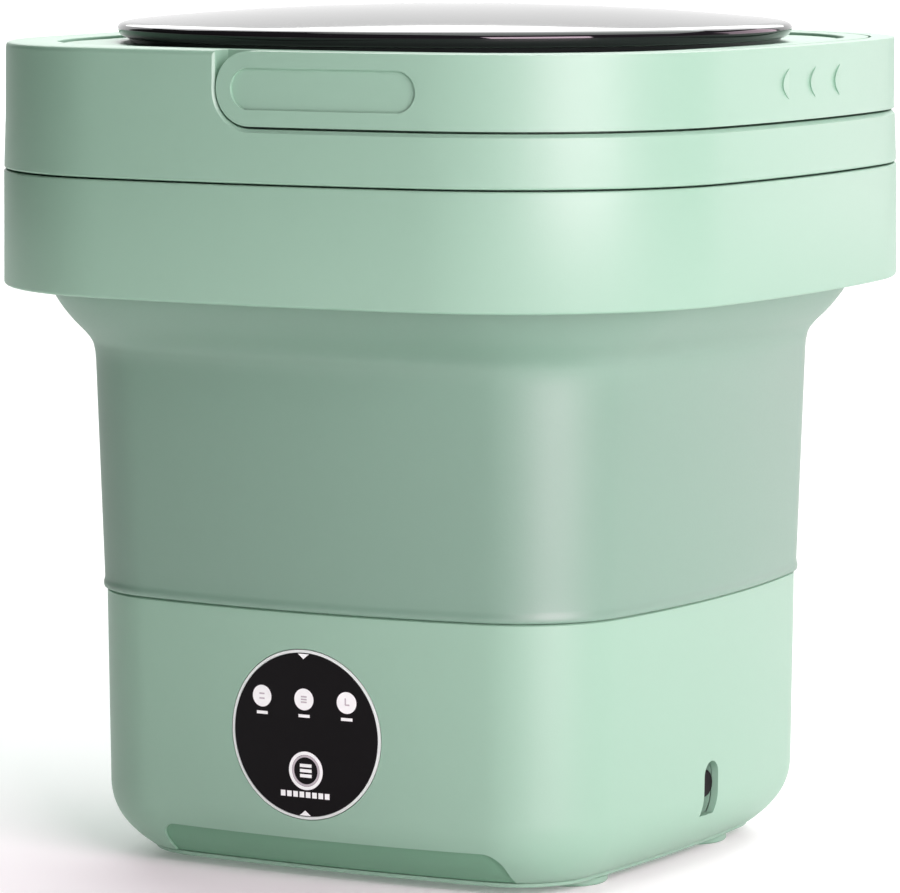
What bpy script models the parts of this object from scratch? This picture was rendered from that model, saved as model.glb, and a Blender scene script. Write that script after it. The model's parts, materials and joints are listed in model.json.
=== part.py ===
"""Portable mini washer: a rigid base, a soft folding wall, a collar with a carry handle and a lift-off lid.

The washer stands on z = 0 with its middle on the Z axis. -Y is the front, with the touch panel,
and +X is the drain side. All values are in metres.
"""
import math

import bmesh
import bpy
from mathutils import Matrix, Vector

# Clearances and wall thicknesses.
GAP = 0.0003
PLASTIC = 0.0025
SOFT_WALL = 0.002
CUT_SPARE = 0.010

# Plan outlines: half-width across the flats, radius of the bulged sides, radius of the corners.
COLLAR_HALF = 0.136
COLLAR_SIDE_RADIUS = 0.548
COLLAR_CORNER_RADIUS = 0.0816
WALL_FOOT_HALF = 0.1025
BASE_SIDE_RADIUS = 0.3756
BASE_CORNER_RADIUS = 0.0394
BASE_SIDE_FLATTENING = 18.9
BASE_CORNER_LOSS = 0.69
SIDE_STEPS = 2
CORNER_STEPS = 5
ROUND_STEPS = 20

# Heights of the base.
FOOT_HEIGHT = 0.003
COVER_TOP = 0.0064
SHELL_FOOT = 0.0049
ROUNDING_TOP = 0.027
SEAM_Z = 0.092
BASE_TOP_HALF = 0.1014
BASE_WAIST_HALF = 0.1003
BASE_FOOT_HALF = 0.0826
ROUNDING_BEND = 2.2
TUB_FLOOR_TOP = 0.0505
TUB_FLOOR_LOW = 0.048

# Heights of the upper body.
CREASE_HALF = 0.1054
CREASE_Z = 0.1738
WALL_TOP_HALF = 0.1212
COLLAR_LOW = 0.1949
LEDGE_LOW = 0.1965
LEDGE_TOP = 0.199
LEDGE_HALF = 0.1218
RING_SEAM = 0.2338
RING_FOOT_HALF = 0.1356
HANDLE_SEAM = 0.2523
RIM_Z = 0.2763
RIM_HALF = 0.1348
LAND_HALF = 0.1174
LID_SEAT = 0.2715
LID_HALF = 0.1166
WINDOW_RADIUS = 0.1142
APEX_Z = 0.2876

# Carry handle: a bail of even height whose ends turn on pins at the middle of the front and back.
HANDLE_THICKNESS = 0.008
HANDLE_SWEEP_GAP = 0.00085
HANDLE_RADIUS = (RIM_Z - HANDLE_SEAM) / 2
PIVOT_Z = (RIM_Z + HANDLE_SEAM) / 2
PIN_RADIUS = 0.003

# Works in the base.
MOTOR_X = -0.052
BELT_LOW = 0.0125
BELT_HIGH = 0.0165
LARGE_PULLEY_RADIUS = 0.034
MOTOR_PULLEY_RADIUS = 0.008
SHAFT_RADIUS = 0.004
FOOT_SPOTS = [(0.0685, -0.044), (0.0685, 0.044), (-0.0685, 0.044), (-0.0685, -0.044)]
POST_SPOTS = [(x, y) for x in (-0.056, 0.056) for y in (-0.056, 0.056)]

# Front panel and drain.
PANEL_Z = 0.0514
PANEL_HEIGHTS = (0.020, 0.0235, ROUNDING_TOP, 0.09)
PANEL_RADIUS = 0.0272
TRIM_RADIUS = 0.0282
DRAIN_Y = -0.0033
DRAIN_Z = 0.029
DRAIN_SLOT_HALF = 0.005
DRAIN_SLOT_LOW = 0.0183
DRAIN_SLOT_TOP = 0.0368
INLET_X = 0.0
INLET_Z = 0.03

GREEN = (0.46, 0.65, 0.53, 1.0)
DARK_GREEN = (0.30, 0.44, 0.36, 1.0)
WHITE = (0.82, 0.84, 0.82, 1.0)
BLACK = (0.012, 0.012, 0.013, 1.0)
RUBBER = (0.02, 0.02, 0.02, 1.0)
STEEL = (0.55, 0.56, 0.57, 1.0)
BRONZE = (0.50, 0.33, 0.17, 1.0)
NATURAL = (0.62, 0.62, 0.58, 1.0)
BOARD_GREEN = (0.03, 0.16, 0.07, 1.0)


def clear_scene():
    for item in list(bpy.data.objects):
        bpy.data.objects.remove(item, do_unlink=True)


def finish(shape, name, colour, roughness=0.45, metallic=0.0):
    """Turn a bmesh into a named object with its own material and smooth round faces."""
    bmesh.ops.recalc_face_normals(shape, faces=shape.faces)
    mesh = bpy.data.meshes.new(name)
    shape.to_mesh(mesh)
    shape.free()
    mesh.shade_smooth()
    mesh.set_sharp_from_angle(angle=math.radians(35))
    material = bpy.data.materials.new(name)
    material.use_nodes = True
    shader = material.node_tree.nodes["Principled BSDF"]
    shader.inputs["Base Color"].default_value = colour
    shader.inputs["Roughness"].default_value = roughness
    shader.inputs["Metallic"].default_value = metallic
    mesh.materials.append(material)
    piece = bpy.data.objects.new(name, mesh)
    bpy.context.scene.collection.objects.link(piece)
    return piece


def skin(rings, closed):
    """Close a body over a row of rings. A ring of one point is a pole, and end rings are capped."""
    shape = bmesh.new()
    rows = [[shape.verts.new(point) for point in ring] for ring in rings]
    pairs = list(zip(rows, rows[1:]))
    if closed:
        pairs.append((rows[-1], rows[0]))
    for low, high in pairs:
        count = max(len(low), len(high))
        for index in range(count):
            after = (index + 1) % count
            if len(low) == 1:
                corners = (low[0], high[after], high[index])
            elif len(high) == 1:
                corners = (low[index], low[after], high[0])
            else:
                corners = (low[index], low[after], high[after], high[index])
            shape.faces.new(corners)
    if not closed:
        for row in (rows[0], rows[-1]):
            if len(row) > 1:
                shape.faces.new(row)
    return shape


def turned(profile, steps=ROUND_STEPS, frame=None):
    """Turn a profile of (radius, height) points about the Z axis, then place it with a matrix."""
    rings = []
    for radius, height in profile:
        if radius == 0:
            rings.append([Vector((0, 0, height))])
            continue
        turns = [2 * math.pi * step / steps for step in range(steps)]
        rings.append([Vector((radius * math.cos(t), radius * math.sin(t), height)) for t in turns])
    shape = skin(rings, closed=profile[0][0] != 0)
    if frame is not None:
        bmesh.ops.transform(shape, matrix=frame, verts=shape.verts)
    return shape


def rod_profile(radius, low, high):
    return [(0, low), (radius, low), (radius, high), (0, high)]


def merged(shapes):
    """Put several separate bodies in one bmesh."""
    whole = bmesh.new()
    for shape in shapes:
        part = bpy.data.meshes.new("part")
        shape.to_mesh(part)
        shape.free()
        whole.from_mesh(part)
        bpy.data.meshes.remove(part)
    return whole


def rods(spots, radius, low, high):
    """Upright rods of one size at several places."""
    return merged([turned(rod_profile(radius, low, high), 8, Matrix.Translation((x, y, 0)))
                   for x, y in spots])


def block(low, high):
    """A box between two corners."""
    rings = [[(low[0], low[1], z), (high[0], low[1], z), (high[0], high[1], z), (low[0], high[1], z)]
             for z in (low[2], high[2])]
    return skin(rings, closed=False)


def plate(outline, low, high, frame):
    """Extrude an outline of (u, v) points from low to high along the frame's Z axis."""
    rings = [[Vector((u, v, level)) for u, v in outline] for level in (low, high)]
    shape = skin(rings, closed=False)
    bmesh.ops.transform(shape, matrix=frame, verts=shape.verts)
    return shape


def common(first, second):
    """Bmesh of what two bodies share."""
    body = carve(finish(first, "common", NATURAL), second, "INTERSECT")
    shape = bmesh.new()
    shape.from_mesh(body.data)
    bpy.data.objects.remove(body, do_unlink=True)
    return shape


def carve(piece, tool_shape, operation="DIFFERENCE"):
    """Cut, join or trim a piece with a tool body, and keep the result as the piece's mesh."""
    tool = finish(tool_shape, "tool", NATURAL)
    modifier = piece.modifiers.new("carve", "BOOLEAN")
    modifier.object = tool
    modifier.operation = operation
    modifier.solver = "EXACT"
    graph = bpy.context.evaluated_depsgraph_get()
    result = bpy.data.meshes.new_from_object(piece.evaluated_get(graph))
    piece.modifiers.clear()
    before = piece.data
    material = before.materials[0]
    piece.data = result
    result.materials.clear()
    result.materials.append(material)
    result.name = piece.name
    bpy.data.meshes.remove(before)
    tool_material = tool.data.materials[0]
    bpy.data.objects.remove(tool, do_unlink=True)
    bpy.data.materials.remove(tool_material)
    return piece


def outline(half, side_radius, corner_radius):
    """Square with bulged sides and round corners, from the middle of the front, anticlockwise."""
    side_centre = half - side_radius
    reach = side_radius - corner_radius
    corner_centre = (2 * side_centre + math.sqrt(8 * reach ** 2 - 4 * side_centre ** 2)) / 4
    meet = math.atan2(corner_centre, corner_centre - side_centre)
    quarter = []
    for step in range(SIDE_STEPS):
        turn = meet * step / SIDE_STEPS
        quarter.append((side_centre + side_radius * math.cos(turn), side_radius * math.sin(turn)))
    for step in range(CORNER_STEPS):
        turn = meet + (math.pi / 2 - 2 * meet) * step / CORNER_STEPS
        quarter.append((corner_centre + corner_radius * math.cos(turn),
                        corner_centre + corner_radius * math.sin(turn)))
    for step in range(SIDE_STEPS):
        turn = math.pi / 2 - meet + meet * step / SIDE_STEPS
        quarter.append((side_radius * math.cos(turn), side_centre + side_radius * math.sin(turn)))
    points = []
    for cosine, sine in ((0, -1), (1, 0), (0, 1), (-1, 0)):
        points += [(x * cosine - y * sine, x * sine + y * cosine) for x, y in quarter]
    return points


def collar_loop(half, z):
    """Outline of the collar, the ring and the lid at one height."""
    shift = COLLAR_HALF - half
    points = outline(half, COLLAR_SIDE_RADIUS - shift, COLLAR_CORNER_RADIUS - shift)
    return [Vector((x, y, z)) for x, y in points]


def base_loop(half, z, inset=0.0):
    """Outline of the base at one height. Its sides flatten and its corners stay soft to the foot."""
    shift = WALL_FOOT_HALF - half
    side = BASE_SIDE_RADIUS + BASE_SIDE_FLATTENING * shift
    corner = BASE_CORNER_RADIUS - BASE_CORNER_LOSS * shift
    return [Vector((x, y, z)) for x, y in outline(half - inset, side - inset, corner - inset)]


def tub_loop(half, z):
    """Outline of the tub inside the base: the top of the base shell, moved in evenly."""
    return base_loop(BASE_TOP_HALF, z, BASE_TOP_HALF - half)


def wall_loop(half, z, inset=0.0):
    """Outline of the folding wall: the base's outline below, easing into the collar's above."""
    ease = min(max((half - CREASE_HALF) / (WALL_TOP_HALF - CREASE_HALF), 0), 1)
    grown = half - WALL_FOOT_HALF
    shift = COLLAR_HALF - half
    side = (1 - ease) * (BASE_SIDE_RADIUS + grown) + ease * (COLLAR_SIDE_RADIUS - shift)
    corner = (1 - ease) * (BASE_CORNER_RADIUS + grown) + ease * (COLLAR_CORNER_RADIUS - shift)
    return [Vector((x, y, z)) for x, y in outline(half - inset, side - inset, corner - inset)]


def round_loop(radius, z):
    """Circle whose points lie at the same angles as the points of the collar's outline."""
    return [Vector((point.x, point.y, 0)).normalized() * radius + Vector((0, 0, z))
            for point in collar_loop(LID_HALF, 0)]


def base_half(z):
    """Outer half-width of the base shell: a drafted side over a rounding that steepens to the foot."""
    if z >= ROUNDING_TOP:
        rise = (z - ROUNDING_TOP) / (SEAM_Z - ROUNDING_TOP)
        return BASE_WAIST_HALF + (BASE_TOP_HALF - BASE_WAIST_HALF) * rise
    drop = (ROUNDING_TOP - z) / (ROUNDING_TOP - FOOT_HEIGHT)
    return BASE_WAIST_HALF - (BASE_WAIST_HALF - BASE_FOOT_HALF) * drop ** ROUNDING_BEND


def rounding_heights():
    """Heights of the rounding's rings, from the foot up."""
    return [SHELL_FOOT + (ROUNDING_TOP - SHELL_FOOT) * step / 5 for step in range(6)]


def base_band(inner_inset, outer_inset, heights=PANEL_HEIGHTS):
    """Ring body between two offsets of the base shell's outer face."""
    rings = [base_loop(base_half(z), z, inner_inset) for z in reversed(heights)]
    rings += [base_loop(base_half(z), z, outer_inset) for z in heights]
    return skin(rings, closed=True)


def along_y(x, z, turn=90):
    """Frame whose Z axis points to the front, at a place on the XZ plane."""
    return Matrix.Translation((x, 0, z)) @ Matrix.Rotation(math.radians(turn), 4, "X")


def along_x(y, z):
    """Frame whose Z axis points along +X, at a place on the YZ plane."""
    return Matrix.Translation((0, y, z)) @ Matrix.Rotation(math.radians(90), 4, "Y")


def face_rod(radius, near, far):
    """Rod through the front face at the middle of the touch panel."""
    return turned(rod_profile(radius, near, far), 36, along_y(0, PANEL_Z))


def drain_slot_outline(half, low, top):
    """Slot with an arched top, as (u, v) points of a frame whose v axis is the washer's Y axis."""
    points = [(-low, -half), (-low, half)]
    centre = top - half
    for step in range(9):
        turn = math.pi * step / 8
        points.append((-(centre + half * math.sin(turn)), half * math.cos(turn)))
    return points


def drain_frame():
    return Matrix.Translation((0, DRAIN_Y, 0)) @ Matrix.Rotation(math.radians(90), 4, "Y")


def capsule(length, radius):
    """Slot outline with round ends, lying along u from 0 to length."""
    points = [(radius * math.sin(math.pi * step / 8) * -1, radius * math.cos(math.pi * step / 8))
              for step in range(9)]
    points += [(length + radius * math.sin(math.pi * step / 8),
                -radius * math.cos(math.pi * step / 8)) for step in range(9)]
    return points


def clamp_spots(loop):
    """Four screw places round a loop: the middle of each corner."""
    quarter = len(loop) // 4
    corners = []
    for first in range(0, len(loop), quarter):
        before = loop[first + quarter // 2]
        after = loop[first + (quarter + 1) // 2]
        corners.append(((before.x + after.x) / 2, (before.y + after.y) / 2))
    return corners


def lower_clamp_spots():
    return clamp_spots(tub_loop(0.0962, 0))


def upper_clamp_spots():
    return clamp_spots(collar_loop(0.1243, 0))


def screws(name, spots, profile):
    """One screw of a turned profile at each place, numbered from 1."""
    made = []
    for number, (x, y) in enumerate(spots, start=1):
        shape = turned(profile, 8, Matrix.Translation((x, y, 0)))
        made.append(finish(shape, f"{name}_{number}", STEEL, 0.35, 1.0))
    return made


def clamp_screws(name, spots, head_low, tip):
    """Pan-head screws: a round head on a straight shank."""
    profile = [(0, tip), (0.0011, tip), (0.0011, head_low), (0.0026, head_low),
               (0.0026, head_low + 0.0009), (0.0018, head_low + 0.0016), (0, head_low + 0.0016)]
    return screws(name, spots, profile)


def make_base_shell():
    heights = rounding_heights() + [SEAM_Z]
    rings = [base_loop(base_half(z), z) for z in heights]
    rings += [base_loop(base_half(z), z, PLASTIC) for z in reversed(heights)]
    shell = finish(skin(rings, closed=True), "base_shell", GREEN, 0.45)
    carve(shell, common(face_rod(TRIM_RADIUS + GAP, 0.09, 0.12), base_band(0.0018, -0.005)))
    carve(shell, face_rod(0.022, 0.09, 0.12))
    carve(shell, plate(drain_slot_outline(DRAIN_SLOT_HALF, DRAIN_SLOT_LOW, DRAIN_SLOT_TOP),
                       0.085, 0.11, drain_frame()))
    carve(shell, turned(rod_profile(0.0064, -0.12, -0.09), 16, along_y(INLET_X, INLET_Z)))
    carve(shell, finger_recess_tool())
    return shell


def finger_recess_tool():
    """Even recess in the front of the rounding, open at the foot, with round upper corners."""
    left, right, top, corner = -0.061, 0.068, 0.016, 0.006
    points = [(left, 0), (right, 0)]
    for centre, first in ((right - corner, 0), (left + corner, 90)):
        for step in range(5):
            turn = math.radians(first + 90 * step / 4)
            points.append((centre + corner * math.cos(turn), top - corner + corner * math.sin(turn)))
    band = base_band(0.0012, -0.004, (0.0035, 0.008, 0.012, 0.016, 0.020))
    return common(plate(points, 0.05, 0.12, along_y(0, 0)), band)


def make_bottom_cover():
    low = FOOT_HEIGHT
    step = SHELL_FOOT - GAP
    inner = base_half(SHELL_FOOT) - PLASTIC - GAP
    edge = BASE_FOOT_HALF + 0.0014
    rings = [base_loop(edge - 0.0008, low), base_loop(edge, low + 0.0006),
             base_loop(edge, step), base_loop(inner, step),
             base_loop(inner, COVER_TOP)]
    cover = finish(skin(rings, closed=False), "bottom_cover", GREEN, 0.5)
    carve(cover, rods(POST_SPOTS, 0.0018, 0, CUT_SPARE))
    carve(cover, rods(POST_SPOTS, 0.0034, 0, 0.0052))
    return cover


def make_feet():
    feet = []
    for number, (x, y) in enumerate(FOOT_SPOTS, start=1):
        top = FOOT_HEIGHT - GAP
        profile = [(0, 0), (0.0115, 0), (0.0125, 0.0008), (0.0125, top), (0, top)]
        shape = turned(profile, 28, Matrix.Translation((x, y, 0)))
        feet.append(finish(shape, f"foot_{number}", GREEN, 0.6))
    return feet


def make_cover_screws():
    profile = [(0, 0.0034), (0.003, 0.0034), (0.003, 0.0049), (0.0015, 0.0049), (0.0015, 0.016),
               (0, 0.016)]
    return screws("cover_screw", POST_SPOTS, profile)


def make_tub_floor():
    top = SEAM_Z
    flange_half = base_half(SEAM_Z) - PLASTIC - GAP
    hole = 0.0173
    rings = [tub_loop(flange_half, top), tub_loop(flange_half, top - PLASTIC),
             tub_loop(0.089, top - PLASTIC), tub_loop(0.0855, 0.060),
             tub_loop(0.0805, TUB_FLOOR_LOW), round_loop(hole, TUB_FLOOR_LOW),
             round_loop(hole, TUB_FLOOR_TOP), tub_loop(0.0790, TUB_FLOOR_TOP),
             tub_loop(0.0830, 0.0595), tub_loop(0.0865, top)]
    floor = finish(skin(rings, closed=True), "tub_floor", WHITE, 0.4)
    posts = rods(POST_SPOTS, 0.0045, COVER_TOP + GAP, TUB_FLOOR_LOW + 0.001)
    carve(floor, posts, "UNION")
    carve(floor, rods(POST_SPOTS, 0.0018, 0.004, 0.018))
    carve(floor, rods(lower_clamp_spots(), 0.0014, 0.086, 0.095))
    carve(floor, rods(motor_screw_spots(), 0.0015, 0.045, 0.0499))
    carve(floor, rods([(0.070, DRAIN_Y)], 0.0032, 0.045, 0.055))
    return floor


def make_lower_clamp():
    low = SEAM_Z + GAP + SOFT_WALL + GAP
    high = low + 0.0024
    rings = [tub_loop(0.0935, low), tub_loop(0.0990, low), tub_loop(0.0990, high),
             tub_loop(0.0935, high)]
    ring = finish(skin(rings, closed=True), "lower_clamp_ring", WHITE, 0.4)
    carve(ring, rods(lower_clamp_spots(), 0.0014, 0.090, 0.100))
    return [ring, *clamp_screws("lower_clamp_screw", lower_clamp_spots(), high + GAP, 0.088)]


def make_folding_wall():
    """Soft wall: a lip over the base, a nearly straight side, a crease and a flare to the collar."""
    foot = SEAM_Z + GAP
    flange = LEDGE_TOP + GAP
    outer = [(0.1028, foot), (0.1029, foot + 0.0021), (WALL_FOOT_HALF, 0.0954),
             (CREASE_HALF, CREASE_Z), (0.1085, 0.1783), (0.1174, 0.1890), (WALL_TOP_HALF, 0.1955),
             (WALL_TOP_HALF, flange)]
    inner = [(half, z) for half, z in reversed(outer[3:-1])]
    rings = [wall_loop(half, z) for half, z in outer]
    rings += [collar_loop(0.1266, flange), collar_loop(0.1266, flange + SOFT_WALL)]
    rings += [wall_loop(WALL_TOP_HALF, flange + SOFT_WALL, SOFT_WALL)]
    rings += [wall_loop(half, z, SOFT_WALL) for half, z in inner]
    rings += [wall_loop(0.1003, foot + SOFT_WALL), wall_loop(0.0940, foot + SOFT_WALL),
              wall_loop(0.0940, foot)]
    wall = finish(skin(rings, closed=True), "folding_wall", DARK_GREEN, 0.7)
    carve(wall, rods(lower_clamp_spots(), 0.0014, 0.090, 0.096))
    carve(wall, rods(upper_clamp_spots(), 0.0014, 0.198, 0.203))
    return wall


def make_bearing():
    housing = [(0.0063, 0.024), (0.012, 0.024), (0.012, 0.044), (0.017, 0.044), (0.017, 0.0508),
               (0.022, 0.0508), (0.022, 0.053), (0.0098, 0.053), (0.0098, 0.047), (0.0063, 0.047)]
    sleeve = [(0.0041, 0.0243), (0.006, 0.0243), (0.006, 0.0467), (0.0041, 0.0467)]
    seal = [(0.0042, 0.0473), (0.0095, 0.0473), (0.0095, 0.0525), (0.0060, 0.0525), (0.0055, 0.050),
            (0.0042, 0.050)]
    return [finish(turned(housing), "bearing_housing", NATURAL, 0.5),
            finish(turned(sleeve), "sleeve_bearing", BRONZE, 0.35, 1.0),
            finish(turned(seal), "lip_seal", RUBBER, 0.6)]


def motor_screw_spots():
    return [(MOTOR_X - 0.025, -0.017), (MOTOR_X + 0.025, 0.017)]


def make_motor():
    """Motor can hung from a steel plate under the tub floor, its shaft pointing down."""
    bore = 0.0029
    can = [(bore, 0.0205), (0.006, 0.0205), (0.006, 0.0225), (0.0185, 0.0225), (0.020, 0.024),
           (0.020, 0.0456), (bore, 0.0456)]
    can_piece = finish(turned(can, 24, Matrix.Translation((MOTOR_X, 0, 0))), "motor_can",
                       STEEL, 0.4, 1.0)
    low = 0.0459
    high = TUB_FLOOR_LOW - GAP
    mount = finish(block((MOTOR_X - 0.031, -0.023, low), (MOTOR_X + 0.031, 0.023, high)),
                   "motor_plate", STEEL, 0.45, 1.0)
    carve(mount, rods(motor_screw_spots(), 0.0015, 0.04, 0.05))
    profile = [(0, 0.0441), (0.0024, 0.0441), (0.0024, low - GAP), (0.0011, low - GAP),
               (0.0011, 0.0496), (0, 0.0496)]
    return [can_piece, mount, *screws("motor_screw", motor_screw_spots(), profile)]


def make_rotor():
    shaft = turned(rod_profile(0.0025, 0.009, 0.044), 20, Matrix.Translation((MOTOR_X, 0, 0)))
    radius = MOTOR_PULLEY_RADIUS
    pulley = [(0.0028, 0.010), (radius + 0.002, 0.010), (radius + 0.002, 0.012), (radius, 0.012),
              (radius, 0.017), (radius + 0.002, 0.017), (radius + 0.002, 0.019), (0.0028, 0.019)]
    pulley_shape = turned(pulley, 20, Matrix.Translation((MOTOR_X, 0, 0)))
    return [finish(shaft, "motor_shaft", STEEL, 0.25, 1.0),
            finish(pulley_shape, "motor_pulley", NATURAL, 0.5)]


def belt_loop(lift, z):
    """Belt line at a distance outside both pulleys: two arcs joined by straight runs."""
    large = LARGE_PULLEY_RADIUS + lift
    small = MOTOR_PULLEY_RADIUS + lift
    lean = math.acos((large - small) / abs(MOTOR_X))
    points = []
    for step in range(23):
        turn = (lean - math.pi) + 2 * (math.pi - lean) * step / 22
        points.append(Vector((large * math.cos(turn), large * math.sin(turn), z)))
    for step in range(9):
        turn = math.pi - lean + 2 * lean * step / 8
        points.append(Vector((MOTOR_X + small * math.cos(turn), small * math.sin(turn), z)))
    return points


def make_belt():
    near = 0.0005
    far = 0.0019
    rings = [belt_loop(near, BELT_LOW), belt_loop(far, BELT_LOW), belt_loop(far, BELT_HIGH),
             belt_loop(near, BELT_HIGH)]
    return finish(skin(rings, closed=True), "drive_belt", RUBBER, 0.6)


def make_control_board():
    """Circuit board behind the touch panel with its connector, relay and coil."""
    board = finish(block((-0.023, -0.0962, 0.032), (0.023, -0.0946, 0.072)), "control_board",
                   BOARD_GREEN, 0.5)
    parts = [((-0.018, 0.036), (-0.006, 0.044)), ((0.002, 0.036), (0.016, 0.046)),
             ((-0.012, 0.054), (0.004, 0.064))]
    for (x_low, z_low), (x_high, z_high) in parts:
        carve(board, block((x_low, -0.0950, z_low), (x_high, -0.0915, z_high)), "UNION")
    return board


def make_touch_panel():
    """Round panel that follows the bulge of the front face, inside a thin trim ring."""
    panel = finish(face_rod(PANEL_RADIUS, 0.09, 0.12), "touch_panel", BLACK, 0.25)
    carve(panel, base_band(0.0015, -0.0003), "INTERSECT")
    trim_profile = [(PANEL_RADIUS + GAP, 0.09), (TRIM_RADIUS, 0.09), (TRIM_RADIUS, 0.12),
                    (PANEL_RADIUS + GAP, 0.12)]
    trim = finish(turned(trim_profile, 36, along_y(0, PANEL_Z)), "panel_trim", WHITE, 0.4)
    carve(trim, base_band(0.0015, -0.0002), "INTERSECT")
    return [panel, trim]


def make_drain():
    """Pocket behind the drain slot, the spout in its back wall and the hose from the tub floor."""
    wall = 0.002
    half = DRAIN_SLOT_HALF + wall
    low = DRAIN_SLOT_LOW - wall
    high = DRAIN_SLOT_TOP + wall
    back = 0.0862
    pocket = finish(block((back, DRAIN_Y - half, low), (0.105, DRAIN_Y + half, high)),
                    "drain_pocket", GREEN, 0.5)
    inside = [base_loop(base_half(z), z, PLASTIC + GAP) for z in (0.012, 0.017, 0.022, 0.027, 0.05)]
    carve(pocket, skin(inside, closed=False), "INTERSECT")
    carve(pocket, plate(drain_slot_outline(DRAIN_SLOT_HALF, DRAIN_SLOT_LOW, DRAIN_SLOT_TOP),
                        back + PLASTIC, 0.11, drain_frame()))
    carve(pocket, turned(rod_profile(0.0042, 0.08, 0.09), 16, along_x(DRAIN_Y, DRAIN_Z)))
    spout = [(0.0033, 0.0856), (0.0039, 0.0856), (0.0039, back + PLASTIC + GAP),
             (0.0047, back + PLASTIC + GAP), (0.0047, back + PLASTIC + 0.0015),
             (0.0033, back + PLASTIC + 0.0015)]
    spout_piece = finish(turned(spout, 16, along_x(DRAIN_Y, DRAIN_Z)), "drain_spout", BLACK, 0.5)
    return [pocket, spout_piece, make_drain_hose(0.0856 - GAP)]


def make_drain_hose(end_x):
    """Hose elbow: down from the hole in the tub floor, round a quarter turn and out to the spout."""
    top = TUB_FLOOR_LOW - GAP
    start_x = 0.070
    bend = 0.011
    path = [(Vector((start_x, DRAIN_Y, top)), Vector((0, 0, -1)))]
    for step in range(6):
        turn = math.pi / 2 * step / 5
        spot = Vector((start_x + bend - bend * math.cos(turn), DRAIN_Y,
                       DRAIN_Z + bend - bend * math.sin(turn)))
        path.append((spot, Vector((math.sin(turn), 0, -math.cos(turn)))))
    path.append((Vector((end_x, DRAIN_Y, DRAIN_Z)), Vector((1, 0, 0))))
    rings = []
    for radius, stations in ((0.0045, path), (0.0032, reversed(path))):
        for spot, heading in stations:
            side = heading.cross(Vector((0, 1, 0)))
            turns = [2 * math.pi * step / 10 for step in range(10)]
            rings.append([spot + radius * (math.cos(t) * side + math.sin(t) * Vector((0, 1, 0)))
                          for t in turns])
    return finish(skin(rings, closed=True), "drain_hose", RUBBER, 0.6)


def make_drain_plug():
    """Pull-out plug: a knob that nearly fills the pocket, on a stem with a seal ring round it."""
    frame = along_x(DRAIN_Y, DRAIN_Z)
    knob_low = 0.0908
    stem = [(0, 0.0872), (0.0024, 0.0872), (0.0024, knob_low), (0.0046, knob_low), (0.0046, 0.0980),
            (0.0040, 0.0986), (0, 0.0986)]
    ring = [(0.0026, 0.0880), (0.0031, 0.0880), (0.0031, 0.0892), (0.0026, 0.0892)]
    return [finish(turned(stem, 16, frame), "drain_plug", RUBBER, 0.6),
            finish(turned(ring, 16, frame), "plug_seal", RUBBER, 0.7)]


def make_power_inlet():
    """Round power inlet in the back face: a flange outside, a barrel inside, a pin in the socket."""
    flange_high = -(base_half(INLET_Z) + 2 * GAP)
    flange_low = flange_high - 0.0018
    barrel = [(0, -0.084), (0.006, -0.084), (0.006, flange_high), (0.0085, flange_high),
              (0.0085, flange_low + 0.0006), (0.0078, flange_low), (0.0036, flange_low),
              (0.0036, -0.090), (0.0009, -0.090), (0.0009, -0.099), (0, -0.099)]
    shape = turned(barrel, 16, along_y(INLET_X, INLET_Z))
    return finish(shape, "power_inlet", BLACK, 0.45)


def smooth_route(route, count):
    """Points of a Catmull-Rom curve through the route's own points."""
    spots = [Vector(point) for point in route]
    spots = [2 * spots[0] - spots[1]] + spots + [2 * spots[-1] - spots[-2]]
    points = []
    spans = len(route) - 1
    for step in range(count + 1):
        place = spans * step / count
        span = min(int(place), spans - 1)
        t = place - span
        before, start, end, after = spots[span:span + 4]
        points.append(0.5 * (2 * start + (end - before) * t
                             + (2 * before - 5 * start + 4 * end - after) * t ** 2
                             + (3 * start - before - 3 * end + after) * t ** 3))
    return points


def make_lead(name, route, count):
    """Insulated lead inside the base, laid along a smooth route."""
    curve = bpy.data.curves.new(name, "CURVE")
    curve.dimensions = "3D"
    curve.bevel_depth = 0.0014
    curve.bevel_resolution = 2
    curve.use_fill_caps = True
    points = smooth_route(route, count)
    spline = curve.splines.new("POLY")
    spline.points.add(len(points) - 1)
    for knot, point in zip(spline.points, points):
        knot.co = (*point, 1)
    lead = bpy.data.objects.new(name, curve)
    bpy.context.scene.collection.objects.link(lead)
    material = bpy.data.materials.new(name)
    material.use_nodes = True
    shader = material.node_tree.nodes["Principled BSDF"]
    shader.inputs["Base Color"].default_value = RUBBER
    shader.inputs["Roughness"].default_value = 0.6
    curve.materials.append(material)
    return lead


def make_leads():
    motor_route = [(-0.020, -0.0898, 0.040), (-0.025, -0.077, 0.036), (-0.036, -0.057, 0.034),
                   (-0.046, -0.039, 0.034), (MOTOR_X, -0.0225, 0.034)]
    inlet_route = [(INLET_X, 0.0820, INLET_Z), (-0.014, 0.0775, 0.0295), (-0.040, 0.076, 0.028),
                   (-0.070, 0.062, 0.024), (-0.084, 0.030, 0.022), (-0.084, -0.030, 0.022),
                   (-0.074, -0.066, 0.025), (-0.050, -0.082, 0.034), (-0.024, -0.0898, 0.046)]
    return [make_lead("motor_lead", motor_route, 10), make_lead("inlet_lead", inlet_route, 24)]


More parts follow.
